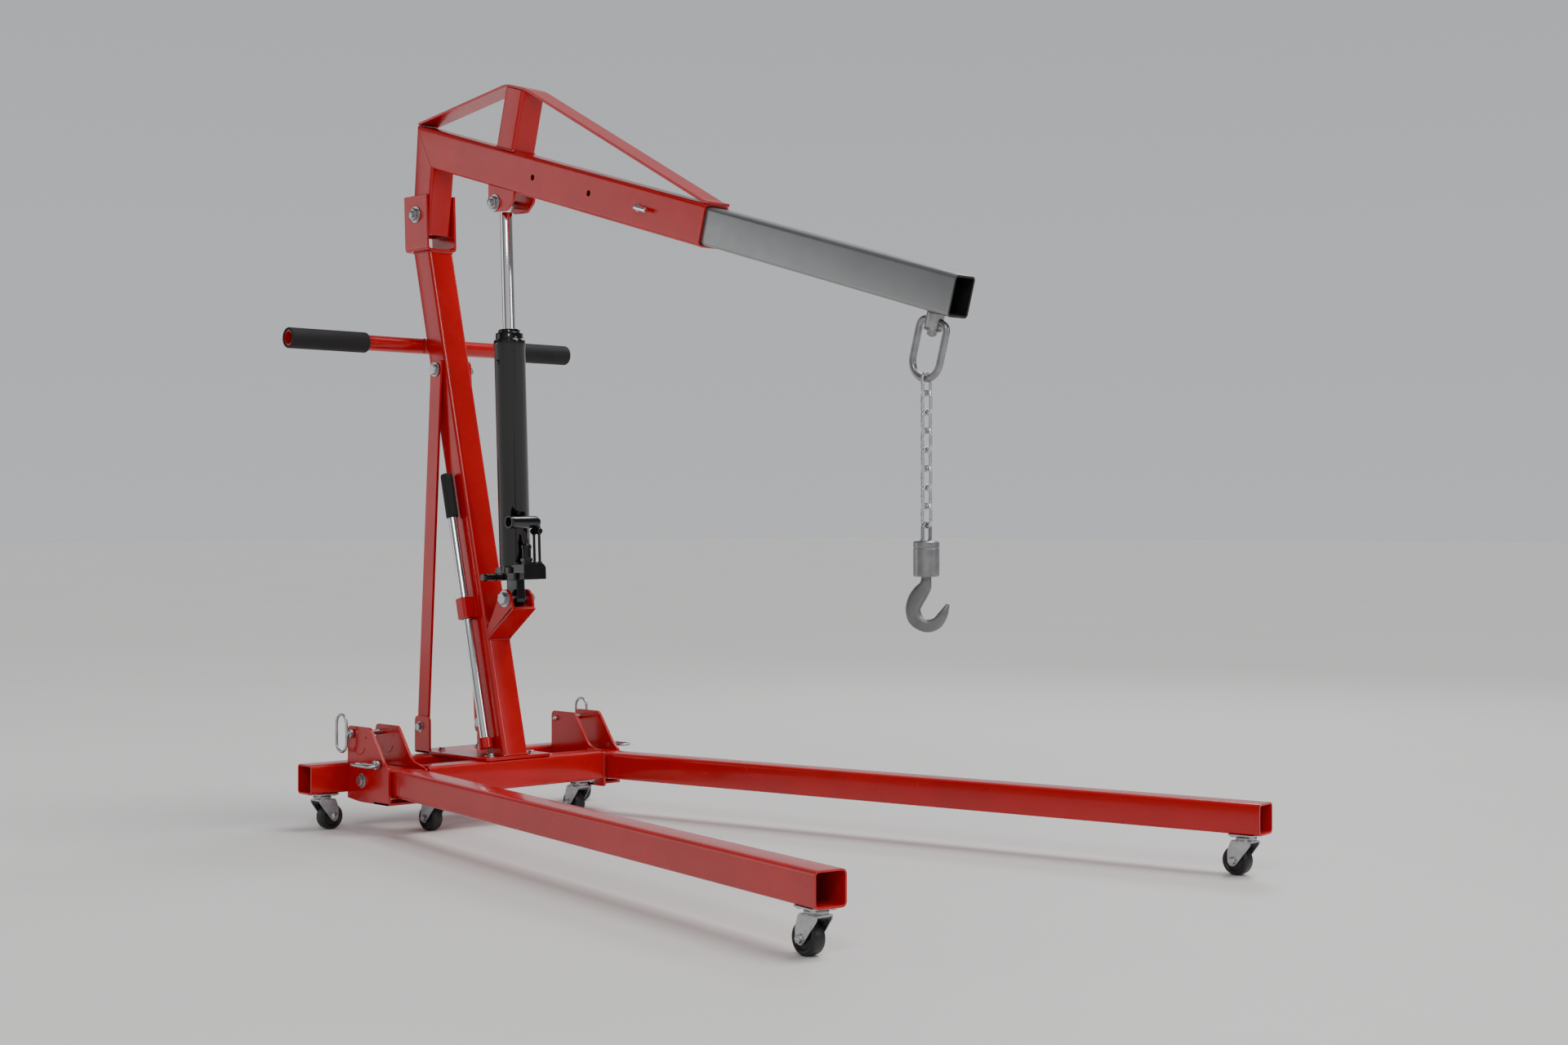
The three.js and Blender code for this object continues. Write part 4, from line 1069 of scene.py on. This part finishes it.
for build in (base_frame, mast, ram_bracket, push_handle, lever_clip, braces, bolts):
    build()
for leg_tag, leg_side in SIDES:
    leg_group(leg_tag, leg_side)
    ring_pins(leg_tag, leg_side)
for joint_name in JOINTS:
    if joint_name.startswith("caster_swivel_"):
        caster(joint_name.removeprefix("caster_swivel_"))
for build in (boom, tie_strap, extension, swivel_boss, bow_link, chain, swivel_collar, ram_cylinder, ram_rod,
              pump_socket, release_valve, lever):
    build()


# ------------------------------------------------------------------ stage, light, camera
FLOOR_SIZE = 120
# The world's colour by the Z of the direction looked in.
SKY = ((0.0, (0.60, 0.61, 0.63, 1)), (0.25, (0.52, 0.53, 0.55, 1)), (0.8, (0.26, 0.265, 0.275, 1)))
SIDEWAYS = (0.725, 0.688, 0)  # about the camera's right; the world is dimmer towards both sides
SUN_FROM, SUN_POWER, SUN_WIDTH = (0.35, 0.30, 1.0), 1.9, 32
# Name, place, aim, watts, width, height and colour of each softbox.
LAMPS = (("key", (3.2, -3.4, 3.6), (0, 0, 0.6), 60, 1.2, 1.2, (1.0, 0.98, 0.95)),
         ("front", (4.2, 1.6, 1.9), (0, 0, 0.6), 22, 1.2, 1.2, (1.0, 1.0, 1.0)),
         ("edge", (-1.2, 3.6, 3.0), (0, 0, 0.8), 40, 1.2, 1.2, (0.96, 0.98, 1.0)),
         ("side", (-4.3, -3.05, 1.6), (-0.3, 0, 1.1), 20, 2.2, 2.6, (1.0, 1.0, 1.0)))
# The photo's view: level, from the crane's front right. The lens and sensor are in mm.
CAMERA_PLACE, CAMERA_YAW, LENS, SENSOR = (3.013, -2.635, 0.600), 46.5, 50.6, 36


def put(name, data):
    made = bpy.data.objects.new(name, data)
    bpy.context.scene.collection.objects.link(made)
    return made


def floor():
    bpy.ops.mesh.primitive_plane_add(size=FLOOR_SIZE, location=(0, 0, 0))
    plane = bpy.context.object
    plane.name = "floor"
    pale = surface("pale_floor", (0.80, 0.79, 0.77, 1), (0.78, 0.77, 0.75, 1), 0.6, drift=0.7, grain=60.0,
                   bump=0.0001, dust=0.0)
    plane.data.materials.append(pale)


def studio_world():
    world = bpy.data.worlds.new("studio")
    bpy.context.scene.world = world
    world.use_nodes = True
    sky = world.node_tree
    background = sky.nodes["Background"]
    direction = sky.nodes.new("ShaderNodeTexCoord").outputs["Generated"]
    split = sky.nodes.new("ShaderNodeSeparateXYZ")
    link(sky, direction, split.inputs["Vector"])
    ramp = sky.nodes.new("ShaderNodeValToRGB")
    stops = ramp.color_ramp.elements
    stops[0].position, stops[0].color = SKY[0]
    stops[1].position, stops[1].color = SKY[2]
    stops.new(SKY[1][0]).color = SKY[1][1]
    link(sky, split.outputs["Z"], ramp.inputs["Fac"])
    link(sky, ramp.outputs["Color"], background.inputs["Color"])
    sideways = sky.nodes.new("ShaderNodeMath")
    sideways.operation = "ABSOLUTE"
    link(sky, dot(sky, direction, SIDEWAYS), sideways.inputs[0])
    link(sky, remap(sky, sideways.outputs["Value"], 0.42, 0.8, 0.95, 0.30), background.inputs["Strength"])


def lamps():
    data = bpy.data.lights.new("overhead", "SUN")
    data.energy = SUN_POWER
    data.angle = math.radians(SUN_WIDTH)
    put("overhead", data).rotation_euler = Vector(SUN_FROM).to_track_quat("Z", "Y").to_euler()
    for name, place, aim, power, width, height, colour in LAMPS:
        data = bpy.data.lights.new(name, "AREA")
        data.energy = power
        data.shape = "RECTANGLE"
        data.size = width
        data.size_y = height
        data.color = colour
        lamp = put(name, data)
        lamp.location = place
        lamp.rotation_euler = (Vector(aim) - Vector(place)).to_track_quat("-Z", "Y").to_euler()


def view():
    data = bpy.data.cameras.new("camera")
    data.lens = LENS
    data.sensor_width = SENSOR
    camera = put("camera", data)
    camera.location = CAMERA_PLACE
    camera.rotation_euler = (math.radians(90), 0, math.radians(CAMERA_YAW))
    bpy.context.scene.camera = camera


for build in (floor, studio_world, lamps, view):
    build()
bpy.context.view_layer.update()
